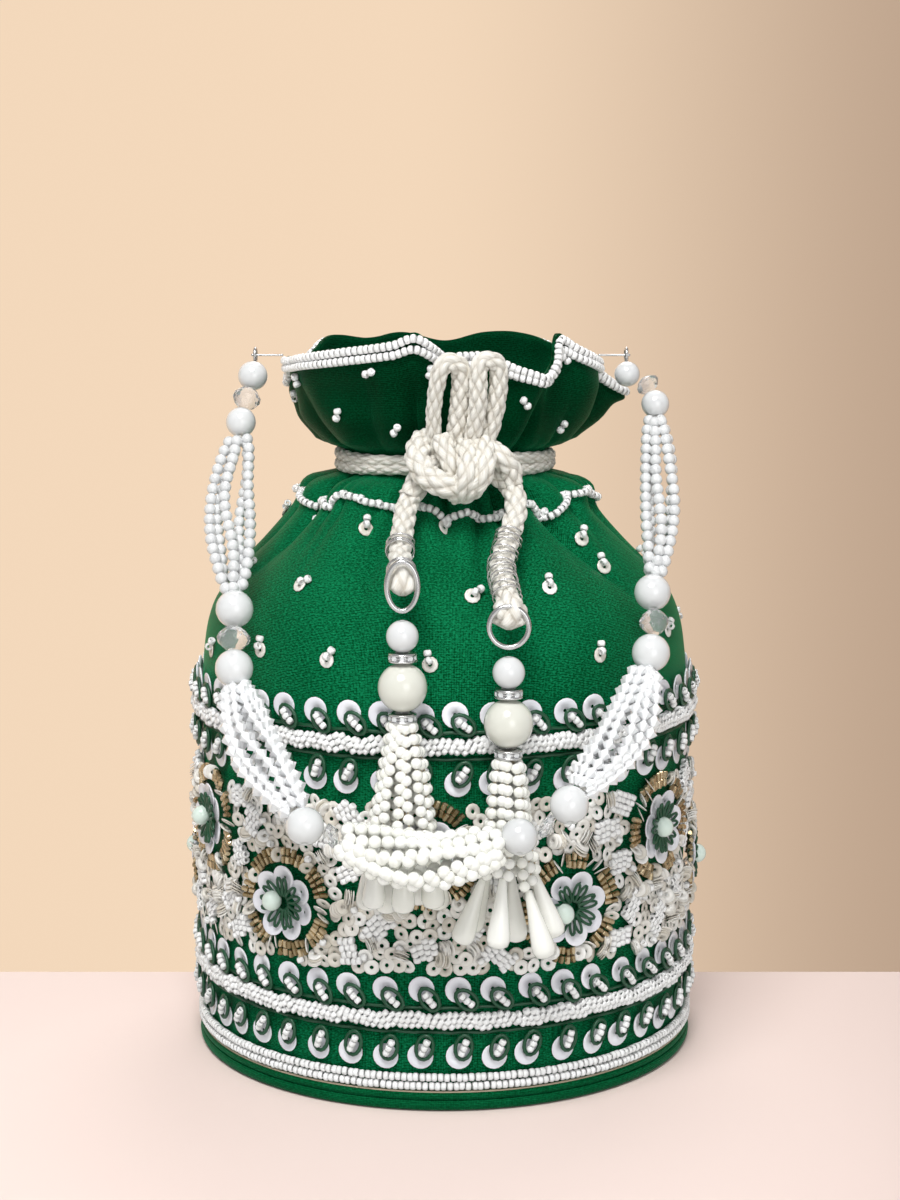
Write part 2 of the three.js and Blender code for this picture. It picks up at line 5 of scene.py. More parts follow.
import bpy
import numpy as np
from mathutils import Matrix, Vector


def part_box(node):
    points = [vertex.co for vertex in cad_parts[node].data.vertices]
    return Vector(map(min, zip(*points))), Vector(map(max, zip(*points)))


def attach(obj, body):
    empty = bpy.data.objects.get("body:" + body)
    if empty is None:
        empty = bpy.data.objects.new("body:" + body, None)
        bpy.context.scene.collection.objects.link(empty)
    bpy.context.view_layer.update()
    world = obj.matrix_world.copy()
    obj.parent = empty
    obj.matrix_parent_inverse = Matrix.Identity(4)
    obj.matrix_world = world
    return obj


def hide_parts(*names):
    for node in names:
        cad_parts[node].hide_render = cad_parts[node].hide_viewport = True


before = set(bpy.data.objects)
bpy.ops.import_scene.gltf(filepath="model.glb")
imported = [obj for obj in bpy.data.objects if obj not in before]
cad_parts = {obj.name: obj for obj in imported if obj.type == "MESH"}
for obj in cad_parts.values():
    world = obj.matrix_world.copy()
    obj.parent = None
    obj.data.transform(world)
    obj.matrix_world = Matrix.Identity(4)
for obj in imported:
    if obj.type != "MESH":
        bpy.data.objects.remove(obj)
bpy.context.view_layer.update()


# Camera, as the photograph sees the pouch.
camera_data = bpy.data.cameras.new("camera")
camera_data.lens = 65.75
camera_data.sensor_width = 36
camera_data.clip_end = 20
camera = bpy.data.objects.new("camera", camera_data)
camera.location = (0.00159, -0.620, 0.21596)
camera.rotation_euler = (math.pi / 2 - 0.1452, 0, 0)
bpy.context.scene.collection.objects.link(camera)
bpy.context.scene.camera = camera


# A shape is a tuple of points, triangles and quads.
def shaped(points, quads=(), triangles=()):
    return (
        np.array(points, float).reshape(-1, 3),
        np.array(triangles, int).reshape(-1, 3),
        np.array(quads, int).reshape(-1, 4),
    )


def merged(shapes):
    points = []
    triangles = []
    quads = []
    start = 0
    for one_points, one_triangles, one_quads in shapes:
        points.append(one_points)
        triangles.append(one_triangles + start)
        quads.append(one_quads + start)
        start += len(one_points)
    return np.concatenate(points), np.concatenate(triangles), np.concatenate(quads)


def repeated(template, frames):
    """Copies of a template, one in each frame. A frame is three axes and an origin."""
    points, triangles, quads = template
    frames = np.asarray(frames, float)
    moved = np.einsum("vk,nkj->nvj", points, frames[:, :3]) + frames[:, 3][:, None]
    step = (np.arange(len(frames)) * len(points))[:, None, None]
    return moved.reshape(-1, 3), (triangles + step).reshape(-1, 3), (quads + step).reshape(-1, 4)


def grid(rows, columns, closed_rows, closed_columns):
    """Quads over rows x columns points."""
    row = np.arange(rows if closed_rows else rows - 1)
    column = np.arange(columns if closed_columns else columns - 1)
    row, column = np.meshgrid(row, column, indexing="ij")
    below = (row + 1) % rows
    beside = (column + 1) % columns
    here = row * columns
    there = below * columns
    return np.stack([here + column, here + beside, there + beside, there + column], -1).reshape(-1, 4)


def full_turn(count, phase=0.0):
    """Evenly spaced angles round a whole turn, in radians."""
    return (np.arange(count) + phase) * 2 * math.pi / count


def end_caps(count, sides):
    """Triangles from the first and last ring, of count points in all, to the two points after them."""
    here = np.arange(sides)
    after = (here + 1) % sides
    last = count - sides
    first_cap = np.stack([np.full(sides, count), after, here], -1)
    last_cap = np.stack([np.full(sides, count + 1), last + here, last + after], -1)
    return np.concatenate([first_cap, last_cap])


def turned(profile, sides):
    """A solid of revolution about Z from (radius, height) pairs. Off the axis it closes on itself."""
    profile = np.array(profile, float)
    solid = profile[0, 0] == 0 and profile[-1, 0] == 0
    rings = profile[1:-1] if solid else profile
    turn = full_turn(sides)
    across = rings[:, :1] * np.cos(turn)
    deep = rings[:, :1] * np.sin(turn)
    high = np.repeat(rings[:, 1:], sides, axis=1)
    points = np.stack([across, deep, high], -1).reshape(-1, 3)
    quads = grid(len(rings), sides, not solid, True)
    if not solid:
        return shaped(points, quads)
    ends = [[0, 0, profile[0, 1]], [0, 0, profile[-1, 1]]]
    return shaped(np.concatenate([points, ends]), quads, end_caps(len(points), sides))


def laid_over(template):
    """The template with its Z axis laid along X."""
    points, triangles, quads = template
    return points[:, [2, 0, 1]], triangles, quads


def unit(vectors):
    return vectors / np.linalg.norm(vectors, axis=-1, keepdims=True)


def hermite(knots, values, places, matching=False):
    """A smooth curve through values at knots, read at places, or at one place for each column of values."""
    knots = np.asarray(knots, float)
    values = np.asarray(values, float)
    slopes = np.gradient(values, knots, axis=0)
    i = np.clip(np.searchsorted(knots, places, side="right") - 1, 0, len(knots) - 2)
    gap = knots[i + 1] - knots[i]
    share = (places - knots[i]) / gap
    shape = (-1,) + (1,) * (values.ndim - (2 if matching else 1))
    share = share.reshape(shape)
    gap = gap.reshape(shape)
    square = share * share
    cube = square * share
    low = (i, np.arange(len(i))) if matching else i
    high = (i + 1, np.arange(len(i))) if matching else i + 1
    return (
        (2 * cube - 3 * square + 1) * values[low]
        + (cube - 2 * square + share) * gap * slopes[low]
        + (3 * square - 2 * cube) * values[high]
        + (cube - square) * gap * slopes[high]
    )


def smooth_step(value, low, high):
    share = np.clip((value - low) / (high - low), 0, 1)
    return share * share * (3 - 2 * share)


def running_length(points):
    """The length along a route at each of its points."""
    return np.concatenate([[0], np.cumsum(np.linalg.norm(np.diff(points, axis=0), axis=1))])


def read_at(places, knots, table):
    """Every column of a table, read between its knots."""
    return np.stack([np.interp(places, knots, column) for column in table.T], -1)


def smooth_route(points, count, closed=False, fine_count=1200):
    """Evenly spaced points on a smooth curve through a few given ones."""
    points = np.array(points, float)
    if closed:
        points = np.concatenate([points[-3:], points, points[:4]])
    steps = np.sqrt(np.linalg.norm(np.diff(points, axis=0), axis=1))
    knots = np.concatenate([[0], np.cumsum(steps)])
    first = knots[3] if closed else 0
    last = knots[-4] if closed else knots[-1]
    fine = hermite(knots, points, np.linspace(first, last, fine_count))
    lengths = running_length(fine)
    even = read_at(np.linspace(0, lengths[-1], count + 1 if closed else count), lengths, fine)
    return even[:-1] if closed else even


def route_length(points, closed=False):
    points = np.array(points, float)
    if closed:
        points = np.concatenate([points, points[:1]])
    return float(np.linalg.norm(np.diff(points, axis=0), axis=1).sum())


def route_frames(path, closed=False):
    """Side, depth and forward axes that follow a path without twisting."""
    path = np.asarray(path, float)
    if closed:
        forward = unit(np.roll(path, -1, 0) - np.roll(path, 1, 0))
    else:
        forward = unit(np.gradient(path, axis=0))
    side = np.zeros_like(path)
    any_direction = (0.13, 1, 0.07)
    start = np.cross(forward[0], any_direction)
    side[0] = start / np.linalg.norm(start)
    for i in range(1, len(path)):
        kept = side[i - 1] - forward[i] * np.dot(side[i - 1], forward[i])
        side[i] = kept / np.linalg.norm(kept)
    if closed:
        ending = side[-1] - forward[0] * np.dot(side[-1], forward[0])
        ending /= np.linalg.norm(ending)
        depth = np.cross(forward[0], side[0])
        slip = math.atan2(np.dot(ending, depth), np.dot(ending, side[0]))
        turn = -slip * np.arange(len(path)) / len(path)
        depths = np.cross(forward, side)
        side = side * np.cos(turn)[:, None] + depths * np.sin(turn)[:, None]
    return side, np.cross(forward, side), forward


def tube(path, radius, sides, closed=False, relief=None):
    """A round tube along a path. relief(turn, length) swells it, and a closed path makes a ring."""
    path = np.asarray(path, float)
    side, depth, forward = route_frames(path, closed)
    turn = full_turn(sides)
    lengths = running_length(path)
    swell = np.ones((len(path), sides))
    if relief is not None:
        swell = relief(turn[None, :], lengths[:, None])
    reach = np.broadcast_to(np.asarray(radius, float).reshape(-1, 1), (len(path), 1)) * swell
    points = (
        path[:, None]
        + side[:, None] * (np.cos(turn)[None, :] * reach)[..., None]
        + depth[:, None] * (np.sin(turn)[None, :] * reach)[..., None]
    ).reshape(-1, 3)
    quads = grid(len(path), sides, closed, True)
    if closed:
        return shaped(points, quads)
    return shaped(np.concatenate([points, path[:1], path[-1:]]), quads, end_caps(len(points), sides))


def seamless(corners, periods):
    """Texture places of quads, carried on across the seams where they start again."""
    quads = corners.reshape(-1, 4, 2).copy()
    for k, period in enumerate(periods):
        if period:
            jumps = np.ptp(quads[:, :, k], axis=1) > period / 2
            low = quads[:, :, k] < period / 2
            quads[:, :, k] += period * (low & jumps[:, None])
    return quads.reshape(-1, 2)


def piece(name, shape, finish, body, stands_for=(), smooth=True, uv=None, periods=(0, 0)):
    """A Blender object from a shape. It rides on a body and may stand for CAD nodes."""
    points, triangles, quads = shape
    mesh = bpy.data.meshes.new(name)
    mesh.vertices.add(len(points))
    mesh.vertices.foreach_set("co", points.astype(np.float32).ravel())
    loops = np.concatenate([triangles.ravel(), quads.ravel()])
    mesh.loops.add(len(loops))
    mesh.loops.foreach_set("vertex_index", loops.astype(np.int32))
    starts = np.concatenate([np.arange(len(triangles)) * 3, len(triangles) * 3 + np.arange(len(quads)) * 4])
    mesh.polygons.add(len(starts))
    mesh.polygons.foreach_set("loop_start", starts.astype(np.int32))
    mesh.polygons.foreach_set("use_smooth", np.full(len(starts), smooth))
    mesh.update(calc_edges=True)
    if uv is not None:
        layer = mesh.uv_layers.new(name="cloth")
        corners = uv[loops]
        cap = 3 * len(triangles)
        corners[cap:] = seamless(corners[cap:], periods)
        layer.data.foreach_set("uv", corners.astype(np.float32).ravel())
    mesh.materials.append(finish)
    made = bpy.data.objects.new(name, mesh)
    bpy.context.scene.collection.objects.link(made)
    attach(made, body)
    if stands_for:
        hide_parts(*stands_for)
    return made


# Materials. Colours are linear.
def finish(name, colour, roughness, metallic=0.0, **sockets):
    made = bpy.data.materials.new(name)
    made.use_nodes = True
    shader = made.node_tree.nodes["Principled BSDF"]
    shader.inputs["Base Color"].default_value = (*colour, 1)
    shader.inputs["Roughness"].default_value = roughness
    shader.inputs["Metallic"].default_value = metallic
    for socket, value in sockets.items():
        shader.inputs[socket.replace("_", " ")].default_value = value
    return made


def node(made, kind, **settings):
    added = made.node_tree.nodes.new(kind)
    for key, value in settings.items():
        if key in added.inputs:
            added.inputs[key].default_value = value
        else:
            setattr(added, key, value)
    return added


def link(made, source, target):
    made.node_tree.links.new(source, target)


def shader_of(made):
    return made.node_tree.nodes["Principled BSDF"]


def maths(made, operation, first, second=None, third=None):
    """The result of one operation on sockets and numbers."""
    made_node = node(made, "ShaderNodeMath", operation=operation)
    for slot_number, value in enumerate((first, second, third)):
        if value is None:
            continue
        if isinstance(value, (int, float)):
            made_node.inputs[slot_number].default_value = value
        else:
            link(made, value, made_node.inputs[slot_number])
    return made_node.outputs[0]


def mapped(made, value, low, high, to_low=0.0, to_high=1.0, kind="LINEAR"):
    """A socket's value carried from one range to another."""
    spread = node(made, "ShaderNodeMapRange", interpolation_type=kind)
    for key, number in (("From Min", low), ("From Max", high), ("To Min", to_low), ("To Max", to_high)):
        spread.inputs[key].default_value = number
    link(made, value, spread.inputs["Value"])
    return spread.outputs["Result"]


def blended(made, share, low, high):
    """A colour from low to high by the share socket. Either end may be a socket itself."""
    mix = node(made, "ShaderNodeMix", data_type="RGBA")
    link(made, share, mix.inputs["Factor"])
    for key, colour in (("A", low), ("B", high)):
        if isinstance(colour, tuple):
            mix.inputs[key].default_value = (*colour, 1)
        else:
            link(made, colour, mix.inputs[key])
    return mix.outputs["Result"]


def coloured(made, colour):
    link(made, colour, shader_of(made).inputs["Base Color"])


def parts_of(made, vector):
    """The X, Y and Z sockets of a vector socket."""
    parts = node(made, "ShaderNodeSeparateXYZ")
    link(made, vector, parts.inputs["Vector"])
    return parts.outputs


def object_place(made):
    return node(made, "ShaderNodeTexCoord").outputs["Object"]


def cloth_place(made):
    return node(made, "ShaderNodeUVMap", uv_map="cloth").outputs["UV"]


def stretched(made, place, stretch):
    mapping = node(made, "ShaderNodeMapping", Scale=stretch)
    link(made, place, mapping.inputs["Vector"])
    return mapping.outputs["Vector"]


def noise_of(made, place, scale, detail=3.0, roughness=0.5):
    noise = node(made, "ShaderNodeTexNoise", Scale=scale, Detail=detail, Roughness=roughness)
    link(made, place, noise.inputs["Vector"])
    return noise.outputs["Fac"]


def bumped(made, height, strength, distance):
    bump = node(made, "ShaderNodeBump", Strength=strength, Distance=distance)
    link(made, height, bump.inputs["Height"])
    link(made, bump.outputs["Normal"], shader_of(made).inputs["Normal"])


def each_apart(made, low, high, roughness_low, roughness_high):
    """Every separate bead gets its own tint and polish."""
    own_share = node(made, "ShaderNodeNewGeometry").outputs["Random Per Island"]
    coloured(made, blended(made, own_share, low, high))
    polish = mapped(made, own_share, 0.0, 1.0, roughness_low, roughness_high)
    link(made, polish, shader_of(made).inputs["Roughness"])


def grainy(made, scale, strength, distance, stretch=(1, 1, 1)):
    """Fine noise as bump, in object space."""
    place = stretched(made, object_place(made), stretch)
    bumped(made, noise_of(made, place, scale), strength, distance)


def silk_finish(name, low, high):
    """Hand-woven silk: fine crossing threads and thick slubs along the weft, with painted shade that
    darkens the ruffle.
    """
    made = finish(name, low, 0.42, Specular_IOR_Level=0.05, Sheen_Weight=0.22, Sheen_Roughness=0.35)
    shader_of(made).inputs["Sheen Tint"].default_value = (0.02, 0.75, 0.28, 1)
    shader_of(made).inputs["Specular Tint"].default_value = (0.10, 1.0, 0.38, 1)
    place = cloth_place(made)
    thread_pitch = 0.00042
    waves = []
    for direction, distortion, detail_scale in (("X", 1.2, 1.5), ("Y", 2.0, 0.6)):
        wave = node(made, "ShaderNodeTexWave", wave_type="BANDS", bands_direction=direction,
                    Scale=0.31 / thread_pitch, Distortion=distortion)
        wave.inputs["Detail Scale"].default_value = detail_scale
        link(made, place, wave.inputs["Vector"])
        waves.append(wave.outputs["Fac"])
    slubs = noise_of(made, stretched(made, place, (1150, 2300, 1)), 1.0, 3.0, 0.55)
    height = maths(made, "MULTIPLY_ADD", slubs, 2.6, maths(made, "MULTIPLY", *waves))
    bumped(made, height, 0.35, 0.00022)
    tone = maths(made, "MULTIPLY_ADD", noise_of(made, place, 60.0, 2.0), 0.4, height)
    woven = blended(made, mapped(made, tone, 1.46, 2.04), low, high)
    # Painted shade: above the neck the silk colour is blended toward 0.35 of its low colour, standing in
    # for the shade on the overhanging ruffle.
    height_up = parts_of(made, object_place(made))["Z"]
    ruffle_shade_share = mapped(made, height_up, 0.163, 0.176, 0.0, 0.78, "SMOOTHSTEP")
    painted_ruffle_shade = tuple(0.35 * part for part in low)
    coloured(made, blended(made, ruffle_shade_share, woven, painted_ruffle_shade))
    return made


silk = silk_finish("green_silk", (0.0001, 0.034, 0.008), (0.006, 0.225, 0.086))
rim_silk = silk_finish("green_silk_piping", (0.0003, 0.045, 0.013), (0.004, 0.13, 0.045))
lining_silk = finish("dark_lining", (0.006, 0.05, 0.024), 0.75)
grainy(lining_silk, 900, 0.3, 0.0002, (1, 1, 4))
card = finish("card_board", (0.42, 0.33, 0.2), 0.9)
grainy(card, 500, 0.3, 0.0003)

seed_white = finish("white_seed_beads", (0.86, 0.85, 0.82), 0.22, Coat_Weight=0.3, Coat_Roughness=0.12)
each_apart(seed_white, (0.90, 0.90, 0.89), (0.98, 0.98, 0.98), 0.14, 0.3)
disc_white = finish("white_discs", (0.84, 0.83, 0.88), 0.25, Coat_Weight=0.4, Coat_Roughness=0.08)
each_apart(disc_white, (0.86, 0.86, 0.93), (0.94, 0.94, 0.98), 0.18, 0.32)
dark_coil = finish("dark_green_coil", (0.004, 0.07, 0.026), 0.38, Specular_IOR_Level=0.6)
grainy(dark_coil, 2600, 0.5, 0.0002)
beige_sequin = finish("beige_sequins", (0.66, 0.62, 0.54), 0.3, Coat_Weight=0.3, Coat_Roughness=0.15)
each_apart(beige_sequin, (0.70, 0.65, 0.56), (0.97, 0.96, 0.93), 0.18, 0.36)
gold_cut = finish("gold_cut_beads", (0.5, 0.4, 0.25), 0.22, 0.9)
each_apart(gold_cut, (0.24, 0.18, 0.09), (0.68, 0.56, 0.37), 0.14, 0.28)
pearl_white = finish("white_pearl", (0.80, 0.81, 0.82), 0.2, Coat_Weight=1.0, Coat_Roughness=0.04)
each_apart(pearl_white, (0.71, 0.72, 0.725), (0.78, 0.79, 0.79), 0.16, 0.24)
pearl_ivory = finish("ivory_pearl", (0.81, 0.81, 0.74), 0.2, Coat_Weight=0.9, Coat_Roughness=0.04)
each_apart(pearl_ivory, (0.71, 0.71, 0.62), (0.77, 0.77, 0.70), 0.16, 0.24)
strand_ivory = finish("strand_pearl", (0.90, 0.90, 0.84), 0.2, Coat_Weight=0.6, Coat_Roughness=0.06)
each_apart(strand_ivory, (0.91, 0.91, 0.84), (0.97, 0.97, 0.93), 0.16, 0.24)
pearl_mint = finish("mint_pearl", (0.74, 0.86, 0.78), 0.2, Coat_Weight=0.4)
grainy(pearl_mint, 900, 0.1, 0.0001)
clear_crystal = finish("clear_crystal", (0.98, 0.99, 1.0), 0.03, Transmission_Weight=0.1, IOR=1.5,
                       Coat_Weight=1.0)
grainy(clear_crystal, 60, 0.02, 0.0001)
clear_glass = finish("clear_glass", (0.98, 0.99, 1.0), 0.02, Transmission_Weight=0.85, IOR=1.52)
grainy(clear_glass, 60, 0.02, 0.0001)
silver = finish("silver_wire", (0.66, 0.66, 0.66), 0.24, 1.0)
grainy(silver, 1500, 0.15, 0.00006)
beige_thread = finish("beige_thread", (0.5, 0.42, 0.3), 0.7)
grainy(beige_thread, 1800, 0.5, 0.0002)


plait_count = 5
plait_pitch = 0.0050


def cord_finish():
    """Plaited strands of fibre, with fibres that run along each strand; the crowns are painted lighter and
    the gaps between strands get painted shade.
    """
    made = finish("cream_cord", (0.68, 0.62, 0.50), 0.55, Sheen_Weight=0.2, Sheen_Roughness=0.4)
    parts = parts_of(made, cloth_place(made))
    round_part = maths(made, "MULTIPLY", parts["X"], plait_count)
    one = maths(made, "MULTIPLY_ADD", parts["Y"], 1 / plait_pitch, round_part)
    other = maths(made, "MULTIPLY_ADD", parts["Y"], -1 / plait_pitch, round_part)
    cells = maths(made, "ADD", maths(made, "FLOOR", one), maths(made, "FLOOR", other))
    under = maths(made, "FLOORED_MODULO", cells, 2)
    over = maths(made, "SUBTRACT", 1, under)
    across = maths(made, "ADD", maths(made, "MULTIPLY", one, over), maths(made, "MULTIPLY", other, under))
    along = maths(made, "ADD", maths(made, "MULTIPLY", other, over), maths(made, "MULTIPLY", one, under))
    place = node(made, "ShaderNodeCombineXYZ")
    for axis, value, factor in (("X", across, 9), ("Y", along, 1.1), ("Z", cells, 3.7)):
        link(made, maths(made, "MULTIPLY", value, factor), place.inputs[axis])
    fibre = noise_of(made, place.outputs["Vector"], 1.0, 3.0, 0.6)
    cloud = noise_of(made, object_place(made), 190.0, 2.0)
    crown = maths(made, "SINE", maths(made, "MULTIPLY", maths(made, "FRACT", across), math.pi))
    ends = maths(made, "SINE", maths(made, "MULTIPLY", maths(made, "FRACT", along), math.pi))
    crown = maths(made, "POWER", crown, 0.5)
    ends = maths(made, "POWER", ends, 0.35)
    raised = maths(made, "MULTIPLY", crown, ends)
    # Painted shade: besides the real fibre streaks, the colour lightens on each strand's crown and darkens
    # in the gaps between strands.
    fibres_and_gap_shade = maths(made, "MULTIPLY_ADD", fibre, 1.1, maths(made, "MULTIPLY", raised, 0.45))
    tone = maths(made, "MULTIPLY_ADD", cloud, 0.3, fibres_and_gap_shade)
    coloured(made, blended(made, mapped(made, tone, 0.45, 1.2), (0.52, 0.46, 0.36), (0.88, 0.86, 0.80)))
    height = maths(made, "MULTIPLY_ADD", fibre, 0.55, maths(made, "MULTIPLY", raised, 0.5))
    bumped(made, height, 0.8, 0.0006)
    return made


cream = cord_finish()


# Cords: listed routes, the same as the part's.
cord_radius = 0.0022
tail_radius = 0.0034
left_tail = [
    (-0.0063, -0.0402, 0.1628), (-0.0094, -0.0444, 0.1578), (-0.0106, -0.0516, 0.1522),
    (-0.0113, -0.0594, 0.1464), (-0.0109, -0.0678, 0.1434), (-0.0104, -0.0726, 0.1408),
    (-0.0104, -0.0729, 0.137),
]
right_tail = [
    (0.0128, -0.0404, 0.1656), (0.0176, -0.0416, 0.1618), (0.019, -0.0456, 0.1564),
    (0.0168, -0.053, 0.1492), (0.0148, -0.06, 0.1426), (0.0156, -0.0674, 0.1382),
    (0.0165, -0.0727, 0.1338), (0.0165, -0.073, 0.1284),
]
left_loop = [
    (-0.0022, -0.0415, 0.1703), (-0.0026, -0.0466, 0.183), (0.0002, -0.0494, 0.1944),
    (0.004, -0.0476, 0.1934), (0.0042, -0.0446, 0.184), (0.0025, -0.0411, 0.1716),
]
right_loop = [
    (0.007, -0.0414, 0.1706), (0.0088, -0.0472, 0.183), (0.0098, -0.0488, 0.1948),
    (0.0136, -0.0474, 0.1944), (0.0138, -0.0448, 0.184), (0.0101, -0.0406, 0.1698),
]


def plaited(turn, length):
    """How far the crossing strands of a braid stand out, round its turn and along its length."""
    one = turn / (2 * math.pi) * plait_count + length / plait_pitch
    other = turn / (2 * math.pi) * plait_count - length / plait_pitch
    over = (np.floor(one) + np.floor(other)) % 2 == 0
    across = np.where(over, one % 1, other % 1)
    along = np.where(over, other % 1, one % 1)
    crown = np.sin(math.pi * across) ** 0.6 * (0.55 + 0.45 * np.sin(math.pi * along) ** 0.5)
    return 0.74 + 0.35 * crown


def braid(name, path, radius, stands_for=(), closed=False, sides=34):
    lengths = running_length(path)
    turn = np.arange(sides) / sides
    places = np.stack(np.broadcast_arrays(turn[None, :], lengths[:, None]), -1).reshape(-1, 2)
    if not closed:
        places = np.concatenate([places, [[0, 0], [0, lengths[-1]]]])
    whole = route_length(path, True) if closed else 0
    return piece(name, tube(path, radius, sides, closed, plaited), cream, "bag", stands_for,
                 uv=places, periods=(1, whole))


braid_step = 0.00045


def braided_route(points, closed=False):
    rough = smooth_route(points, 200, closed)
    return smooth_route(points, int(route_length(rough, closed) / braid_step), closed)


left_path = braided_route(left_tail)
right_path = braided_route(right_tail)


def tufted(path, swell, tuft):
    """Radii of a tail whose end is folded back and bound into a tuft of the given length."""
    along = np.linspace(0, route_length(path), len(path))
    share = np.clip((along - along[-1] + tuft) / tuft, 0, 1)
    bulge = swell * np.sin(math.pi * share) ** 0.8 - 0.16 * np.exp(-((share - 0.02) / 0.12) ** 2)
    tip = np.sqrt(np.clip((1 - share) / 0.25, 0.06, 1))
    return tail_radius * (1 + bulge) * np.where(share > 0.75, tip, 1)


tail_left = braid("tail_left_braid", left_path, tufted(left_path, 0.14, 0.0085), ["tail_left"])
tail_right = braid("tail_right_braid", right_path, tufted(right_path, 0.30, 0.0075), ["tail_right"])
left_loop_path = braided_route(left_loop)
fullness = 0.9 + 0.28 * smooth_step(np.linspace(0, 1, len(left_loop_path)), 0.25, 0.6)
braid("loop_left_braid", left_loop_path, cord_radius * fullness, ["bow_loop_left"])
braid("loop_right_braid", braided_route(right_loop), cord_radius * 1.08, ["bow_loop_right"])


def wire_wraps(name, path, start, end, turns, seed_number):
    """Silver wire wound loosely round a cord between two shares of its length."""
    steps_per_turn = 18
    steps_per_wobble = 9
    steps = turns * steps_per_turn
    share = np.linspace(start, end, steps)
    side, depth, _ = route_frames(path)
    at = share * (len(path) - 1)
    rows = np.arange(len(path))
    generator = np.random.default_rng(seed_number)
    wobble_steps = np.arange(0, steps, steps_per_wobble)
    wobble = np.interp(np.arange(steps), wobble_steps, generator.uniform(-1.8, 1.8, len(wobble_steps)))
    turn = np.linspace(0, turns * 2 * math.pi, steps)
    spot = read_at(at + wobble, rows, path)
    one = read_at(at, rows, side)
    two = read_at(at, rows, depth)
    reach = tail_radius * 1.09
    wound = spot + one * (np.cos(turn) * reach)[:, None] + two * (np.sin(turn) * reach)[:, None]
    return piece(name, tube(wound, 0.00024, 6), silver, "bag")


wires = [
    wire_wraps("wire_left_upper", left_path, 0.52, 0.60, 4, 3),
    wire_wraps("wire_left_lower", left_path, 0.80, 0.90, 4, 4),
    wire_wraps("wire_right", right_path, 0.40, 0.86, 11, 5),
]


def ring_of_wire(name, centre, radius, wire, body, stands_for, tall=None):
    turn = full_turn(40)
    tall = radius if tall is None else tall
    path = np.stack([radius * np.cos(turn), 0 * turn, tall * np.sin(turn)], -1) + np.array(centre)
    return piece(name, tube(path, wire, 10, True), silver, body, stands_for)


def middle_of(cad_node):
    low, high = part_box(cad_node)
    return (np.array(low) + np.array(high)) / 2, np.array(high) - np.array(low)


for side_name in ("left", "right"):
    spot, size = middle_of(f"end_ring_{side_name}")
    wire = 0.0007
    ring_of_wire(
        f"ring_{side_name}", spot, size[0] / 2 - wire, wire, "bag", [f"end_ring_{side_name}"],
        size[2] / 2 - wire,
    )


# The cord round the neck, two turns, and the knot.
neck_height = 0.1662
neck_turns = np.radians(np.arange(0, 360, 12) + 180)
for label, rise, phase, stands_for in (("upper", 0.00125, 0.4, ["neck_cord"]), ("lower", -0.0013, 2.0, [])):
    wave = 0.0004 * np.sin(3 * neck_turns + phase)
    radius = 0.0296 + 0.0002 * np.sin(5 * neck_turns)
    level = neck_height + rise + wave
    spots = np.stack([radius * np.sin(neck_turns), -radius * np.cos(neck_turns), level], -1)
    braid(f"neck_braid_{label}", braided_route(spots, True), 0.00165, stands_for, True, 20)

knot_lobes = [
    ("knot_lobe_left", 0.0033, ["bow_knot"], [
        (-0.0050, -0.0392, 0.1742), (-0.0068, -0.0430, 0.1716), (-0.0066, -0.0464, 0.1682),
        (-0.0042, -0.0488, 0.1650), (-0.0002, -0.0500, 0.1630), (0.0036, -0.0486, 0.1620),
        (0.0066, -0.0452, 0.1634),
    ]),
    ("knot_lobe_right", 0.0028, [], [
        (0.0092, -0.0402, 0.1752), (0.0106, -0.0462, 0.1718), (0.0106, -0.0500, 0.1676),
        (0.0088, -0.0500, 0.1634), (0.0056, -0.0470, 0.1606), (0.0026, -0.0430, 0.1610),
    ]),
    ("knot_lobe_inner", 0.0028, [], [
        (0.0058, -0.0436, 0.1728), (0.0062, -0.0482, 0.1700), (0.0060, -0.0510, 0.1662),
        (0.0046, -0.0502, 0.1624), (0.0026, -0.0466, 0.1600),
    ]),
    ("knot_turn_right", 0.0030, [], [
        (0.0100, -0.0400, 0.1722), (0.0126, -0.0436, 0.1712), (0.0152, -0.0446, 0.1694),
        (0.0172, -0.0432, 0.1668), (0.0180, -0.0418, 0.1630),
    ]),
    ("knot_turn_left", 0.0031, [], [
        (0.0000, -0.0400, 0.1690), (-0.0038, -0.0424, 0.1664), (-0.0066, -0.0424, 0.1634),
        (-0.0090, -0.0440, 0.1590),
    ]),
    ("knot_core", 0.0026, [], [
        (-0.0008, -0.0446, 0.1750), (0.0006, -0.0466, 0.1710), (0.0022, -0.0472, 0.1672),
        (0.0028, -0.0450, 0.1640),
    ]),
]
for label, radius, stands_for, route in knot_lobes:
    braid(label, braided_route(route), radius, stands_for)


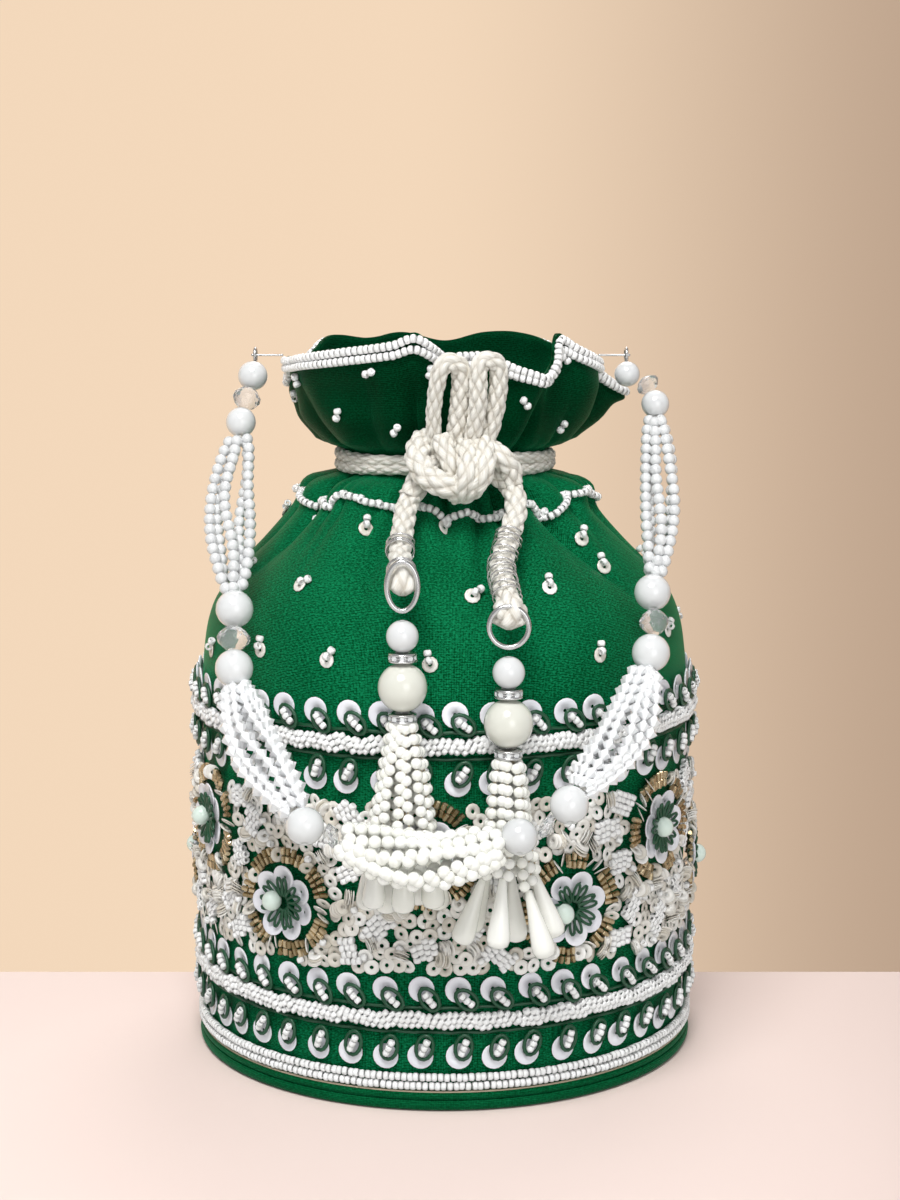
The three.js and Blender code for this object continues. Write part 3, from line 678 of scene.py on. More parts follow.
# The silk: heights and radii of the body, shares of the ruffle, and the rim round the mouth.
cloth_thickness = 0.0012
drum_radius = 0.069
neck_radius = 0.0292
held_radius = 0.0278
shoulder = [
    (0.0015, drum_radius), (0.030, drum_radius), (0.060, drum_radius), (0.085, drum_radius),
    (0.097, drum_radius), (0.104, drum_radius), (0.113, 0.0683), (0.121, 0.0667), (0.128, 0.0638),
    (0.1355, 0.0588), (0.143, 0.0522), (0.150, 0.0458), (0.1564, 0.0396), (0.1602, 0.0362),
    (0.1626, 0.0322), (0.1658, 0.0292),
]
ruffle_rows = [(0.1692, 0.16), (0.1716, 0.32), (0.1752, 0.54), (0.180, 0.78)]
rim = [
    (-180, 0.040, 0.198), (-162, 0.043, 0.2005), (-144, 0.041, 0.199), (-126, 0.044, 0.1995),
    (-108, 0.0468, 0.1905), (-99, 0.0476, 0.1885), (-90, 0.046, 0.1935), (-72, 0.0456, 0.1948),
    (-54, 0.0454, 0.1964), (-36, 0.045, 0.1983), (-18, 0.0442, 0.2003), (-9.5, 0.0436, 0.2020),
    (-6, 0.0412, 0.2000), (-2, 0.0370, 0.1972), (9, 0.0346, 0.197), (22, 0.0356, 0.1966),
    (30, 0.039, 0.1938), (36, 0.0420, 0.1920), (42, 0.0438, 0.1909), (47, 0.0428, 0.1938),
    (51, 0.0402, 0.1992), (54, 0.0393, 0.2014), (58, 0.0398, 0.2008), (63, 0.042, 0.1982),
    (72, 0.0432, 0.1954), (81, 0.0438, 0.194), (90, 0.0438, 0.1932), (99, 0.0535, 0.1848),
    (108, 0.052, 0.1875), (117, 0.048, 0.192), (126, 0.045, 0.196), (144, 0.043, 0.2003),
    (162, 0.042, 0.2006),
]
rim_table = np.array([(a + lap, r, z) for lap in (-360, 0, 360) for a, r, z in rim])


# Creases of the gathers: angle at the neck, angle and height of the foot, depth and half width in degrees.
creases = [
    (-84, -91, 0.128, 0.0026, 6), (-61.2, -67, 0.134, 0.0036, 4.5), (-49, -46, 0.139, 0.0016, 4),
    (-34, -33, 0.147, 0.0010, 3), (-20.5, -22, 0.129, 0.0030, 6), (-9, -11, 0.143, 0.0012, 3),
    (1, 4, 0.139, 0.0026, 4), (12.6, 9, 0.129, 0.0024, 3.2), (20.5, 24, 0.126, 0.0022, 2.4),
    (31, 34, 0.144, 0.0012, 3), (41, 62, 0.129, 0.0040, 4.5), (57, 70, 0.143, 0.0014, 4),
    (74, 84, 0.136, 0.0022, 5), (92, 95, 0.128, 0.0028, 5), (110, 106, 0.134, 0.0022, 5),
    (127, 130, 0.127, 0.0030, 5), (146, 143, 0.135, 0.0022, 4), (163, 166, 0.128, 0.0028, 5),
    (181, 184, 0.133, 0.0024, 5), (199, 196, 0.128, 0.0028, 5), (217, 220, 0.134, 0.0022, 4),
    (236, 233, 0.127, 0.0030, 5), (255, 252, 0.134, 0.0024, 5),
]
# Folds of the ruffle: angle at the neck, angle at the rim, depth and half width.
ruffle_folds = [
    (-84, -96, 0.0028, 7), (-62, -66, 0.0022, 6), (-34, -30, 0.0018, 6), (-14, -12, 0.0036, 5),
    (-2, 2, 0.0026, 5), (12, 16, 0.0018, 5), (28, 32, 0.0016, 5), (43, 46, 0.0034, 5),
    (66, 60, 0.0020, 6), (86, 94, 0.0026, 6), (106, 112, 0.0026, 6), (128, 132, 0.0034, 6),
    (150, 146, 0.0028, 6), (172, 170, 0.0036, 7), (194, 196, 0.0026, 6), (214, 210, 0.0034, 6),
    (236, 240, 0.0028, 6), (256, 252, 0.0030, 6),
]


# Hollows of the ruffle: angle, half width and depth.
ruffle_hollows = [
    (-40, 15, 0.0030), (22, 13, 0.0024), (70, 12, -0.0016), (120, 14, 0.0026), (180, 16, 0.003),
    (235, 14, 0.0026), (-80, 10, 0.0014), (-12, 7, 0.0020), (48, 8, 0.0016),
]


def away_from(angle, other):
    """Degrees from one angle to another, the shorter way."""
    return np.abs((angle - other + 180) % 360 - 180)


def bell(value, middle, width, power=2):
    """1 at the middle, falling away on both sides over the width."""
    return np.exp(-(np.abs(value - middle) / width) ** power)


def gathers(angle, height):
    """How far the folds stand out: creases with round crests below the neck, wider folds in the ruffle."""
    turn = np.radians(angle)
    out = 0.0006 * np.sin(6 * turn + 40 * height) * smooth_step(height, 0.108, 0.130)
    above = smooth_step(height, 0.1635, 0.169)
    below = 1 - above
    puff = bell(height, 0.1585, 0.0042) * below
    swollen = 1 + 0.9 * bell(away_from(angle, 78), 0, 14) + 0.4 * bell(away_from(angle, -80), 0, 16)
    out = out + 0.0030 * puff * swollen + 0.0012 * smooth_step(height, 0.120, 0.150) * below
    crease_top = 0.153
    for top_angle, foot_angle, foot, depth, half_width in creases:
        foot = foot - 0.004
        rise = np.clip((height - foot) / (crease_top - foot), 0, 1)
        middle = foot_angle + (top_angle - foot_angle) * rise
        wide = half_width * (1.15 - 0.35 * rise)
        drawn = smooth_step(height, foot, foot + 0.024) * (1 + 0.5 * puff)
        out = out - 2.4 * depth * drawn * below * bell(away_from(angle, middle), 0, wide, 0.8)
    puckers = (1 - np.abs(np.sin(11 * turn + 1.3 * np.sin(2 * turn)))) ** 2.5
    out = out - puckers * (0.0026 * bell(height, 0.1570, 0.0055) + 0.0011 * bell(height, 0.1470, 0.0080))
    fine_folds = np.abs(np.sin(13 * turn + 0.9 * np.sin(3 * turn)))
    out = out + 0.0016 * (fine_folds - 0.6) * bell(height, 0.1665, 0.0055)
    at_sides = bell(away_from(angle, 0), 93, 24)
    out = out + at_sides * (0.0042 * bell(height, 0.1665, 0.0065) + 0.0034 * bell(height, 0.1775, 0.0055))
    rise = np.clip((height - 0.169) / 0.028, 0, 1)
    fade = 1 - 0.62 * smooth_step(height, 0.178, 0.195)
    for low_angle, rim_angle, depth, half_width in ruffle_folds:
        middle = low_angle + (rim_angle - low_angle) * rise
        wide = half_width * (0.8 + 0.9 * rise)
        out = out - 1.7 * depth * above * fade * bell(away_from(angle, middle), 0, wide, 1.15)
    hollow = bell(height, 0.1855, 0.0058)
    for middle, wide, deep in ruffle_hollows:
        out = out - deep * hollow * bell(away_from(angle, middle), 0, wide)
    return out


def cloth_rows(angles):
    """Radius and height of the cloth's control rows above each angle."""
    edge = hermite(rim_table[:, 0], rim_table[:, 1:], angles)
    rows = [np.stack([np.full(len(angles), r), np.full(len(angles), z)], -1) for z, r in shoulder]
    for z, share in ruffle_rows:
        radius = neck_radius + (edge[:, 0] - neck_radius) * share
        rows.append(np.stack([radius, np.full(len(angles), z)], -1))
    middle = (ruffle_rows[-1][0] + edge[:, 1]) / 2
    rows.append(np.stack([edge[:, 0], middle], -1))
    rows.append(edge)
    return np.array(rows)


mean_rows = cloth_rows(np.arange(-180, 180, 5.0)).mean(1)
cloth_knots = running_length(mean_rows)
cloth_length = cloth_knots[-1]


def cloth_places(angles, along, inward=0.0, matching=False):
    """Points of the cloth at every (along, angle) pair of a grid, or of matching lists."""
    rows = hermite(cloth_knots, cloth_rows(angles), along, matching)
    around = angles if matching else angles[None, :]
    radius = rows[..., 0] + gathers(around, rows[..., 1])
    held = 1 - smooth_step(np.abs(rows[..., 1] - neck_height), 0.0022, 0.0050)
    radius = radius + (np.minimum(radius, held_radius) - radius) * held - inward
    turn = np.radians(around)
    return np.stack([radius * np.sin(turn), -radius * np.cos(turn), rows[..., 1]], -1)


def on_cloth(angles, along, lift):
    """Frames on the cloth: across, up and outward axes and a place, for matching lists."""
    angles = np.asarray(angles, float)
    along = np.asarray(along, float)
    here = cloth_places(angles, along, matching=True)
    aside = 0.4
    rise = 0.0006
    right = cloth_places(angles + aside, along, matching=True)
    left = cloth_places(angles - aside, along, matching=True)
    above = cloth_places(angles, along + rise, matching=True)
    below = cloth_places(angles, along - rise, matching=True)
    across = unit(right - left)
    outward = unit(np.cross(across, above - below))
    up = np.cross(outward, across)
    return np.stack([across, up, outward, here + outward * np.reshape(lift, (-1, 1))], 1)


def along_at(height):
    return np.interp(height, mean_rows[:, 1], cloth_knots)


columns = 300
cloth_angles = -180 + 360 * np.arange(columns) / columns
drum_top = along_at(0.106)
low_rows = np.linspace(0, drum_top, 10)
high_rows = np.linspace(drum_top, cloth_length, 72)[1:]
cloth_along = np.concatenate([low_rows, high_rows])
outer = cloth_places(cloth_angles, cloth_along)
inner = cloth_places(cloth_angles, cloth_along, cloth_thickness)[::-1]
cloth_points = np.concatenate([outer, inner]).reshape(-1, 3)
cloth_quads = grid(2 * len(cloth_along), columns, True, True)
girth = 2 * math.pi * drum_radius
down_and_up = np.concatenate([cloth_along, cloth_along[::-1]])
cloth_uv = np.stack([
    np.tile((cloth_angles + 180) / 360 * girth, len(down_and_up)), np.repeat(down_and_up, columns)
], -1)
cloth = piece("silk_cloth", (cloth_points, np.zeros((0, 3), int), cloth_quads), silk, "bag",
              ["silk_shell"], uv=cloth_uv, periods=(girth, 0))


# Base: a covered disc, two rolls of piping and a thread line.
def drum_uv(points):
    return np.stack([(np.arctan2(points[:, 0], -points[:, 1]) + math.pi) * drum_radius, points[:, 2]], -1)


base = turned([(0, 0), (0.066, 0), (0.0679, 0.00025), (0.0686, 0.0007), (0.0683, 0.0011), (0, 0.0012)], 96)
piece("base_cloth", base, silk, "bag", ["base_cover"], uv=base[0][:, :2] + 0.08)


def roll(radius, height, half_depth, half_height):
    turn = full_turn(14)
    return [(radius + half_depth * math.cos(t), height + half_height * math.sin(t)) for t in turn]


base_rolls = (roll(0.0702, 0.00165, 0.0010, 0.00134), roll(0.0701, 0.00408, 0.0009, 0.00108))
rolls = merged([turned(profile, 200) for profile in base_rolls])
piece("base_piping", rolls, rim_silk, "bag", ["base_rim"], uv=drum_uv(rolls[0]))
piece("base_thread", turned(roll(0.0704, 0.0053, 0.0004, 0.00022), 200), beige_thread, "bag")


# Templates. A bead's hole runs along its own X; a disc faces its own Z.
def bead(length, diameter, sides=7):
    half = length / 2
    reach = diameter / 2
    profile = [
        (reach * 0.36, 0), (reach * 0.80, -half), (reach, -half * 0.45), (reach, half * 0.45),
        (reach * 0.80, half),
    ]
    return laid_over(turned(profile, sides))


def disc(diameter, dish, hole=0.0005, thick=0.00028, sides=18):
    reach = diameter / 2
    profile = [
        (hole, 0.0), (hole, -thick), (reach * 0.6, dish * 0.3 - thick), (reach * 0.97, dish - thick),
        (reach, dish), (reach * 0.97, dish + thick * 0.4), (reach * 0.6, dish * 0.3),
    ]
    return turned(profile, sides)


def oval(half_long, half_wide, wire, steps=14, sides=5):
    """An oval loop of thick thread lying in its own XY plane, long along Y."""
    turn = full_turn(steps)
    path = np.stack([half_wide * np.cos(turn), half_long * np.sin(turn), np.zeros(steps)], -1)
    return tube(path, wire, sides, True)


def ball(diameter, sides, rings, hole=0.0, flat=1.0):
    """A round pearl, its drilled hole along Z."""
    reach = diameter / 2
    start = math.asin(min(hole / reach, 0.9))
    turn = np.linspace(start, math.pi - start, rings)
    profile = [(reach * math.sin(t), -reach * math.cos(t) * flat) for t in turn]
    if hole > 0:
        dent = reach * 0.82
        profile = [(0, -dent)] + profile + [(0, dent)]
    else:
        profile[0] = (0, profile[0][1])
        profile[-1] = (0, profile[-1][1])
    return turned(profile, sides)


seed = bead(0.0015, 0.0022)
small_seed = bead(0.0015, 0.0020, 6)
rim_seed = bead(0.00155, 0.0024)
petal_disc = disc(0.0069, 0.00045)


def drum_frames(angles, radius, height):
    """Frames on the drum: across, up and outward axes and a place."""
    angles, radius, height = np.broadcast_arrays(
        np.asarray(angles, float), np.asarray(radius, float), np.asarray(height, float)
    )
    turn = np.radians(angles)
    zero = np.zeros_like(turn)
    across = np.stack([np.cos(turn), np.sin(turn), zero], -1)
    up = np.stack([zero, zero, zero + 1], -1)
    outward = np.stack([np.sin(turn), -np.cos(turn), zero], -1)
    place = outward * radius[:, None] + up * height[:, None]
    return np.stack([across, up, outward, place], 1)


def spun(frames, degrees):
    """Frames turned about their outward axis."""
    turn = np.radians(np.broadcast_to(degrees, (len(frames),)))[:, None]
    made = frames.copy()
    made[:, 0] = frames[:, 0] * np.cos(turn) + frames[:, 1] * np.sin(turn)
    made[:, 1] = frames[:, 1] * np.cos(turn) - frames[:, 0] * np.sin(turn)
    return made


def leaned(frames, degrees):
    """Frames tipped about their own across axis, the top edge outward."""
    turn = np.radians(np.broadcast_to(degrees, (len(frames),)))[:, None]
    made = frames.copy()
    made[:, 1] = frames[:, 1] * np.cos(turn) + frames[:, 2] * np.sin(turn)
    made[:, 2] = frames[:, 2] * np.cos(turn) - frames[:, 1] * np.sin(turn)
    return made


def shifted(frames, across=0.0, up=0.0, out=0.0):
    made = frames.copy()
    made[:, 3] = (
        frames[:, 3]
        + frames[:, 0] * np.reshape(across, (-1, 1))
        + frames[:, 1] * np.reshape(up, (-1, 1))
        + frames[:, 2] * np.reshape(out, (-1, 1))
    )
    return made


# Two rows of seed beads above the piping.
shake = np.random.default_rng(11)
beads_round = 274
row_angles = 360 * np.arange(beads_round) / beads_round
rows = []
for height, phase in ((0.00690, 0.0), (0.00925, 0.5)):
    shaken = row_angles + 360 / beads_round * (phase + shake.uniform(-0.08, 0.08, beads_round))
    frames = drum_frames(shaken, 0.0705, height + shake.uniform(-0.0001, 0.0001, beads_round))
    rows.append(repeated(seed, spun(frames, shake.uniform(-7, 7, beads_round))))
piece("bottom_beads", merged(rows), seed_white, "bag", ["bottom_bead_rows"])


# Ropes of slanted stitches, three beads to a stitch, with a dark couched line on either side.
def rope(name, low, high, stands_for, seed_number):
    generator = np.random.default_rng(seed_number)
    stitches = 264
    middle = (low + high) / 2
    pair = np.arange(stitches) // 2
    angles = 360 * (pair + 0.27 * (np.arange(stitches) % 2 * 2 - 1)) / (stitches / 2)
    angles = angles + generator.uniform(-0.14, 0.14, stitches)
    heights = middle + np.repeat(generator.uniform(-0.0004, 0.0004, stitches // 2), 2)
    tilt = np.repeat(generator.uniform(-60, -36, stitches // 2), 2) + generator.uniform(-4, 4, stitches)
    lift = 0.0706 + generator.uniform(0, 0.0006, stitches)
    made = []
    for k in range(3):
        frames = spun(drum_frames(angles, lift + (0.0004 if k == 1 else 0.0), heights), tilt)
        made.append(repeated(seed, shifted(frames, across=(k - 1) * 0.0017)))
    piece(name, merged(made), seed_white, "bag", [stands_for])


rope("hem_rope", 0.0219, 0.0277, "hem_bead_rope", 21)
rope("top_rope", 0.0945, 0.1008, "top_bead_rope", 22)


def couched(height, seed_number):
    generator = np.random.default_rng(seed_number)
    angles = np.arange(0, 360, 1.5)
    shake = generator.uniform(-0.00018, 0.00018, len(angles))
    path = drum_frames(angles, 0.0698 + shake * 0.6, height + shake)[:, 3]
    return tube(path, 0.00052, 6, True)


lines = merged([couched(0.0213, 31), couched(0.0280, 32), couched(0.0941, 33), couched(0.1011, 34)])
piece("couched_lines", lines, dark_coil, "bag")


# Discs round the bag, each held by a loop of coiled thread and three beads.
disc_count = 46
disc_angles = 360 * (np.arange(disc_count) + 0.35) / disc_count
loops = []
loop_beads = []


def disc_row(name, height, rising, stands_for, seed_number):
    generator = np.random.default_rng(seed_number)
    angles = disc_angles + generator.uniform(-0.5, 0.5, disc_count)
    heights = height + generator.uniform(-0.00025, 0.00025, disc_count)
    frames = drum_frames(angles, 0.0699, heights)
    tipped = spun(frames, generator.uniform(0, 360, disc_count))
    tipped = leaned(tipped, generator.uniform(0, 7, disc_count))
    piece(name, repeated(petal_disc, tipped), disc_white, "bag", [stands_for])
    sway = generator.uniform(-9, 9, disc_count)
    if rising:
        at = shifted(frames, across=0.0022, up=-0.0024, out=0.0013)
        tilt = 44 + sway
        row = -46 + sway
    else:
        at = shifted(frames, across=0.0012, up=0.0027, out=0.0013)
        tilt = -16 + sway
        row = 62 + sway
    loops.append(repeated(oval(0.00335, 0.0022, 0.00055), spun(at, tilt)))
    for k in (-1, 0, 1):
        spots = spun(shifted(at, out=0.0006 + (0.0003 if k == 0 else 0)), row)
        loop_beads.append(repeated(small_seed, shifted(spots, across=k * 0.00155)))


disc_row("hem_discs", 0.0148, False, "hem_disc_row", 41)
disc_row("rising_discs", 0.0330, True, "rising_disc_row", 42)
disc_row("falling_discs", 0.0878, False, "falling_disc_row", 43)
disc_row("crown_discs", 0.1056, True, "crown_disc_row", 44)
piece("disc_loops", merged(loops), dark_coil, "bag")
piece("disc_beads", merged(loop_beads), seed_white, "bag")


# Floral field: flowers of discs and coiled loops among cut beads, sequins and seed beads.
field_low = 0.0372
field_high = 0.0835
high_flower = 0.0692
low_flower = 0.0528
flowers = [
    (-65, high_flower, -0.003), (-36.5, low_flower, -0.003), (-4, high_flower, 0.0045),
    (28, low_flower, -0.003), (55.5, high_flower, -0.001), (85.5, low_flower, -0.003),
    (115.5, high_flower, 0.0), (145.5, low_flower, -0.003), (175.5, high_flower, 0.001),
    (205.5, low_flower, -0.003), (235.5, high_flower, 0.0), (265.5, low_flower, 0.002),
]
field_radius = 0.0692
petals = []
petal_loops = []
centres = []
cut_beads = []
sequins = []
field_beads = []
chance = np.random.default_rng(71)
flower_petal = disc(0.0069, 0.0006, hole=0.0004)
petal_loop = oval(0.0026, 0.0008, 0.0004)
flower_pearl = laid_over(ball(0.0056, 16, 10, 0.0, 0.92))
sequin_ring = turned([
    (0.00055, 0.00018), (0.00055, -0.0001), (0.00215, 0.00005), (0.0020, 0.00022),
], 11)
cut_bead = laid_over(turned([
    (0, -0.00105), (0.0006, -0.00105), (0.00078, -0.0008), (0.00078, 0.0008), (0.0006, 0.00105),
    (0, 0.00105),
], 6))
for angle, height, aside in flowers:
    centre = drum_frames([angle], field_radius, height)
    start = chance.uniform(0, 360)
    for k in range(7):
        turn = start + 360 / 7 * k + chance.uniform(-4, 4)
        spoke = spun(centre, turn)
        rim_up = shifted(spoke, up=0.0069, out=0.0017 + 0.00022 * (k % 3))
        petals.append(repeated(flower_petal, leaned(rim_up, 9 + chance.uniform(-3, 3))))
        for side_step in (-10, 10):
            beside = spun(centre, turn + side_step + chance.uniform(-3, 3))
            petal_loops.append(repeated(petal_loop, leaned(shifted(beside, up=0.0044, out=0.0030), 10)))
    pearl_spot = shifted(centre, across=aside, up=chance.uniform(-0.0008, 0.0008), out=0.0035)
    centres.append(repeated(flower_pearl, pearl_spot))
    angle_now = chance.uniform(0, 30)
    while angle_now < 375:
        for k in range(int(chance.integers(4, 7))):
            spoke = spun(centre, angle_now)
            for reach in (0.0117, 0.0138):
                rise = reach + chance.uniform(-0.0003, 0.0003)
                spot = shifted(spoke, up=rise, out=0.0012 + chance.uniform(0, 0.0004))
                cut_beads.append(repeated(cut_bead, spun(spot, 90 + chance.uniform(-7, 7))))
            angle_now += 7.4 + chance.uniform(-0.6, 0.6)
        for k in range(int(chance.integers(1, 4))):
            spoke = spun(centre, angle_now)
            spot = shifted(spoke, up=0.0126 + chance.uniform(-0.0012, 0.0014), out=0.0016)
            spot = spun(spot, chance.uniform(60, 120))
            sequins.append(repeated(sequin_ring, leaned(spot, chance.uniform(35, 70))))
            angle_now += 8.5


degree = math.radians(1) * field_radius
blocks = []
for (angle, height, _), (beside, _, _) in zip(flowers, flowers[1:] + flowers[:1]):
    middle, at_sides = (0.006, 0.012) if height == high_flower else (0.041, 0.0355)
    for aside, rise in ((0, middle), (-9.5, at_sides), (9.5, at_sides)):
        blocks.append((angle + aside, field_low + rise))
    halfway = angle + ((beside - angle) % 360) / 2
    blocks += [(halfway, field_low + 0.005), (halfway, field_low + 0.026), (halfway, field_low + 0.042)]
for angle, height in blocks:
    turn = chance.uniform(0, 180)
    line_count = int(chance.integers(4, 6))
    for line in range(line_count):
        wide = int(chance.integers(3, 5))
        for k in range(wide):
            spot = spun(drum_frames([angle], field_radius, height), turn)
            aside = (line - (line_count - 1) / 2) * 0.00175 + chance.uniform(-0.0002, 0.0002)
            rise = (k - (wide - 1) / 2) * 0.00155 + line * 0.0003
            spot = shifted(spot, across=aside, up=rise, out=0.0013 + chance.uniform(0, 0.0004))
            field_beads.append(repeated(seed, spun(spot, 90 + chance.uniform(-12, 12))))
step_up = 0.0030
step_round = 2.7
flower_reach = 0.0152
block_reach = 0.0041
height = field_low + 0.0015
row = 0
while height < field_high - 0.0008:
    angle = -180 + (row % 2) * step_round / 2
    while angle < 180 - step_round / 2:
        a = angle + chance.uniform(-0.7, 0.7)
        z = height + chance.uniform(-0.0008, 0.0008)
        flower_gap = min(math.hypot(away_from(a, b) * degree, z - c) for b, c, _ in flowers)
        block_gap = min(math.hypot(away_from(a, b) * degree, z - c) for b, c in blocks)
        if flower_gap > flower_reach and block_gap > block_reach:
            spot = shifted(drum_frames([a], field_radius, z), out=0.0007 + chance.uniform(0, 0.0009))
            spot = spun(spot, chance.uniform(0, 360))
            if chance.uniform() < 0.16:
                for k in range(4):
                    behind = shifted(spot, up=k * 0.0007 - 0.001, out=0.0008)
                    sequins.append(repeated(sequin_ring, leaned(behind, 62 + chance.uniform(-8, 8))))
            else:
                sequins.append(repeated(sequin_ring, leaned(spot, chance.uniform(2, 24))))
            if chance.uniform() < 0.10:
                field_beads.append(repeated(small_seed, shifted(spot, out=0.0012)))
        angle += step_round
    height += step_up
    row += 1
piece("flower_petals", merged(petals), disc_white, "bag", ["floral_field"])
piece("flower_loops", merged(petal_loops), dark_coil, "bag", ["floral_field"])
piece("flower_pearls", merged(centres), pearl_mint, "bag", ["floral_field"])
piece("field_cut_beads", merged(cut_beads), gold_cut, "bag", ["floral_field"], smooth=False)
piece("field_sequins", merged(sequins), beige_sequin, "bag", ["floral_field"])
piece("field_beads", merged(field_beads), seed_white, "bag", ["floral_field"])


# Small motifs scattered on the silk: a sequin with two beads, and pairs of beads on the ruffle.
dome_motifs = [
    (-39.7, 0.1359), (-28.2, 0.150), (-0.3, 0.1506), (7.1, 0.1347), (27.9, 0.136), (43.2, 0.1525),
    (51.8, 0.1462), (54.3, 0.1388), (-26.5, 0.1184), (-46.0, 0.1187), (-70.0, 0.1147), (37.0, 0.1186),
    (-3.0, 0.1183), (66.3, 0.1209), (-72, 0.137), (-62, 0.149), (84, 0.138), (98, 0.118), (104, 0.150),
    (120, 0.135), (134, 0.118), (146, 0.149), (158, 0.134), (173, 0.118), (-172, 0.150), (-160, 0.134),
    (-146, 0.118), (-136, 0.149), (-122, 0.135), (-108, 0.118), (-98, 0.150), (-90, 0.132),
]
ruffle_motifs = [
    (-27.1, 0.1897), (-44, 0.180), (-20.6, 0.1765), (-5.8, 0.1898), (-6, 0.1792), (36.1, 0.185),
    (63.7, 0.1764), (56.8, 0.1916), (-80.4, 0.1841), (-66, 0.1895), (88, 0.180), (112, 0.178),
    (128, 0.188), (146, 0.178), (164, 0.189), (-176, 0.178), (-158, 0.190), (-140, 0.179), (-122, 0.189),
    (-104, 0.178),
]


def motif_frames(motifs, lift, turn_low, turn_high):
    turns = chance.uniform(turn_low, turn_high, len(motifs))
    angles, heights = np.array(motifs).T
    return spun(on_cloth(angles, along_at(heights), lift), turns)


motif_beads = []
frames = motif_frames(dome_motifs, 0.0004, -40, 40)
motif_sequins = repeated(sequin_ring, leaned(frames, 6))
motif_beads.append(repeated(seed, shifted(frames, across=0.0003, up=0.0009, out=0.0010)))
motif_beads.append(repeated(seed, spun(shifted(frames, across=0.0012, up=0.0027, out=0.0007), 60)))
frames = motif_frames(ruffle_motifs, 0.0010, 0, 360)
motif_beads.append(repeated(seed, shifted(frames, across=0.0011)))
motif_beads.append(repeated(seed, shifted(spun(frames, 50), across=-0.0011)))
piece("motif_sequins", motif_sequins, beige_sequin, "bag")
piece("motif_beads", merged(motif_beads), seed_white, "bag")


# A scalloped line of beads where the gathers begin, and two rows along the rim.
def bead_line(angles, along, lift):
    """Frames on the cloth whose across axis follows a closed line."""
    frames = on_cloth(angles, along, lift)
    ahead = np.roll(frames[:, 3], -1, 0) - np.roll(frames[:, 3], 1, 0)
    ahead = unit(ahead - frames[:, 2] * (ahead * frames[:, 2]).sum(-1, keepdims=True))
    frames[:, 1] = np.cross(frames[:, 2], ahead)
    frames[:, 0] = ahead
    return frames


def evenly(angles_fine, along_fine, lift, pitch):
    """Angles and cloth lengths of beads set at an even pitch along a line on the cloth."""
    lengths = running_length(on_cloth(angles_fine, along_fine, lift)[:, 3])
    count = int(lengths[-1] / pitch)
    at = np.arange(count) * lengths[-1] / count
    return np.interp(at, lengths, angles_fine), np.interp(at, lengths, along_fine)


fine = np.linspace(-180, 180, 721)
scallop_table = [
    (-180, 0.1566), (-171, 0.1530), (-160, 0.1572), (-146, 0.1528), (-132, 0.1576), (-117, 0.1536),
    (-104, 0.1572), (-88, 0.1568), (-79, 0.1576), (-63.1, 0.1535), (-58, 0.1560), (-52.5, 0.1555),
    (-50.5, 0.1540), (-44, 0.1582), (-37, 0.1578), (-27, 0.1560), (-18.8, 0.1546), (-12, 0.1560),
    (-4.2, 0.1553), (-1.4, 0.1529), (0.7, 0.1508), (3, 0.1530), (8, 0.1545), (13.4, 0.1525), (20, 0.1530),
    (28, 0.1566), (36, 0.1556), (40.5, 0.1512), (46, 0.1525), (56.2, 0.1569), (70, 0.1582), (80, 0.1565),
    (92, 0.1530), (106, 0.1574), (120, 0.1534), (134, 0.1576), (150, 0.1530), (166, 0.1572),
    (180, 0.1566),
]
scallop = np.interp(fine, *np.array(scallop_table).T)
bead_lift = 0.0009
line_angles, line_along = evenly(fine, along_at(scallop), bead_lift, 0.00175)
piece("shoulder_beads", repeated(seed, bead_line(line_angles, line_along, bead_lift)), seed_white, "bag",
      ["shoulder_bead_line"])
rim_rows = []
for back in (0.0012, 0.0033):
    rim_angles, rim_along = evenly(fine, np.full(len(fine), cloth_length - back), bead_lift, 0.00168)
    rim_rows.append(repeated(rim_seed, bead_line(rim_angles, rim_along, bead_lift)))
piece("rim_beads", merged(rim_rows), seed_white, "bag", ["rim_bead_rows"])


# Tassels: pearls, rings of stones, strands of small pearls and drops.
def stone_ring(diameter, height):
    """Two metal rims with cut stones set between them."""
    reach = diameter / 2
    half = height / 2
    rims = []
    for level in (-half * 0.72, half * 0.72):
        rims.append(turned([
            (reach * 0.55, level - half * 0.26), (reach * 0.97, level - half * 0.26), (reach, level),
            (reach * 0.97, level + half * 0.26), (reach * 0.55, level + half * 0.26),
        ], 28))
    core = turned([(reach * 0.5, -half * 0.7), (reach * 0.84, -half * 0.6), (reach * 0.84, half * 0.6),
                   (reach * 0.5, half * 0.7)], 28)
    stones = []
    stone = turned([(0, -0.0003), (reach * 0.22, -0.0001), (reach * 0.16, 0.0004), (0, 0.00045)], 6)
    for k in range(9):
        turn = 2 * math.pi * k / 9
        out = np.array((math.sin(turn), -math.cos(turn), 0))
        axes = np.array([(math.cos(turn), math.sin(turn), 0), (0, 0, 1), out, out * reach * 0.86])
        stones.append(repeated(stone, axes[None]))
    return merged(rims + [core]), merged(stones)


def at_place(place):
    return np.array([[(1, 0, 0), (0, 1, 0), (0, 0, 1), place]], float)


strand_pearl = ball(0.0030, 12, 8, 0.0, 0.96)
drop_length = 0.0180
drop = turned([
    (0, 0.0), (0.0009, -0.0002), (0.0012, -0.0022), (0.0017, -0.0060), (0.0024, -0.0105), (0.0029, -0.0140),
    (0.0030, -0.0158), (0.0026, -0.0172), (0.0014, -0.0179), (0, -drop_length),
], 18)


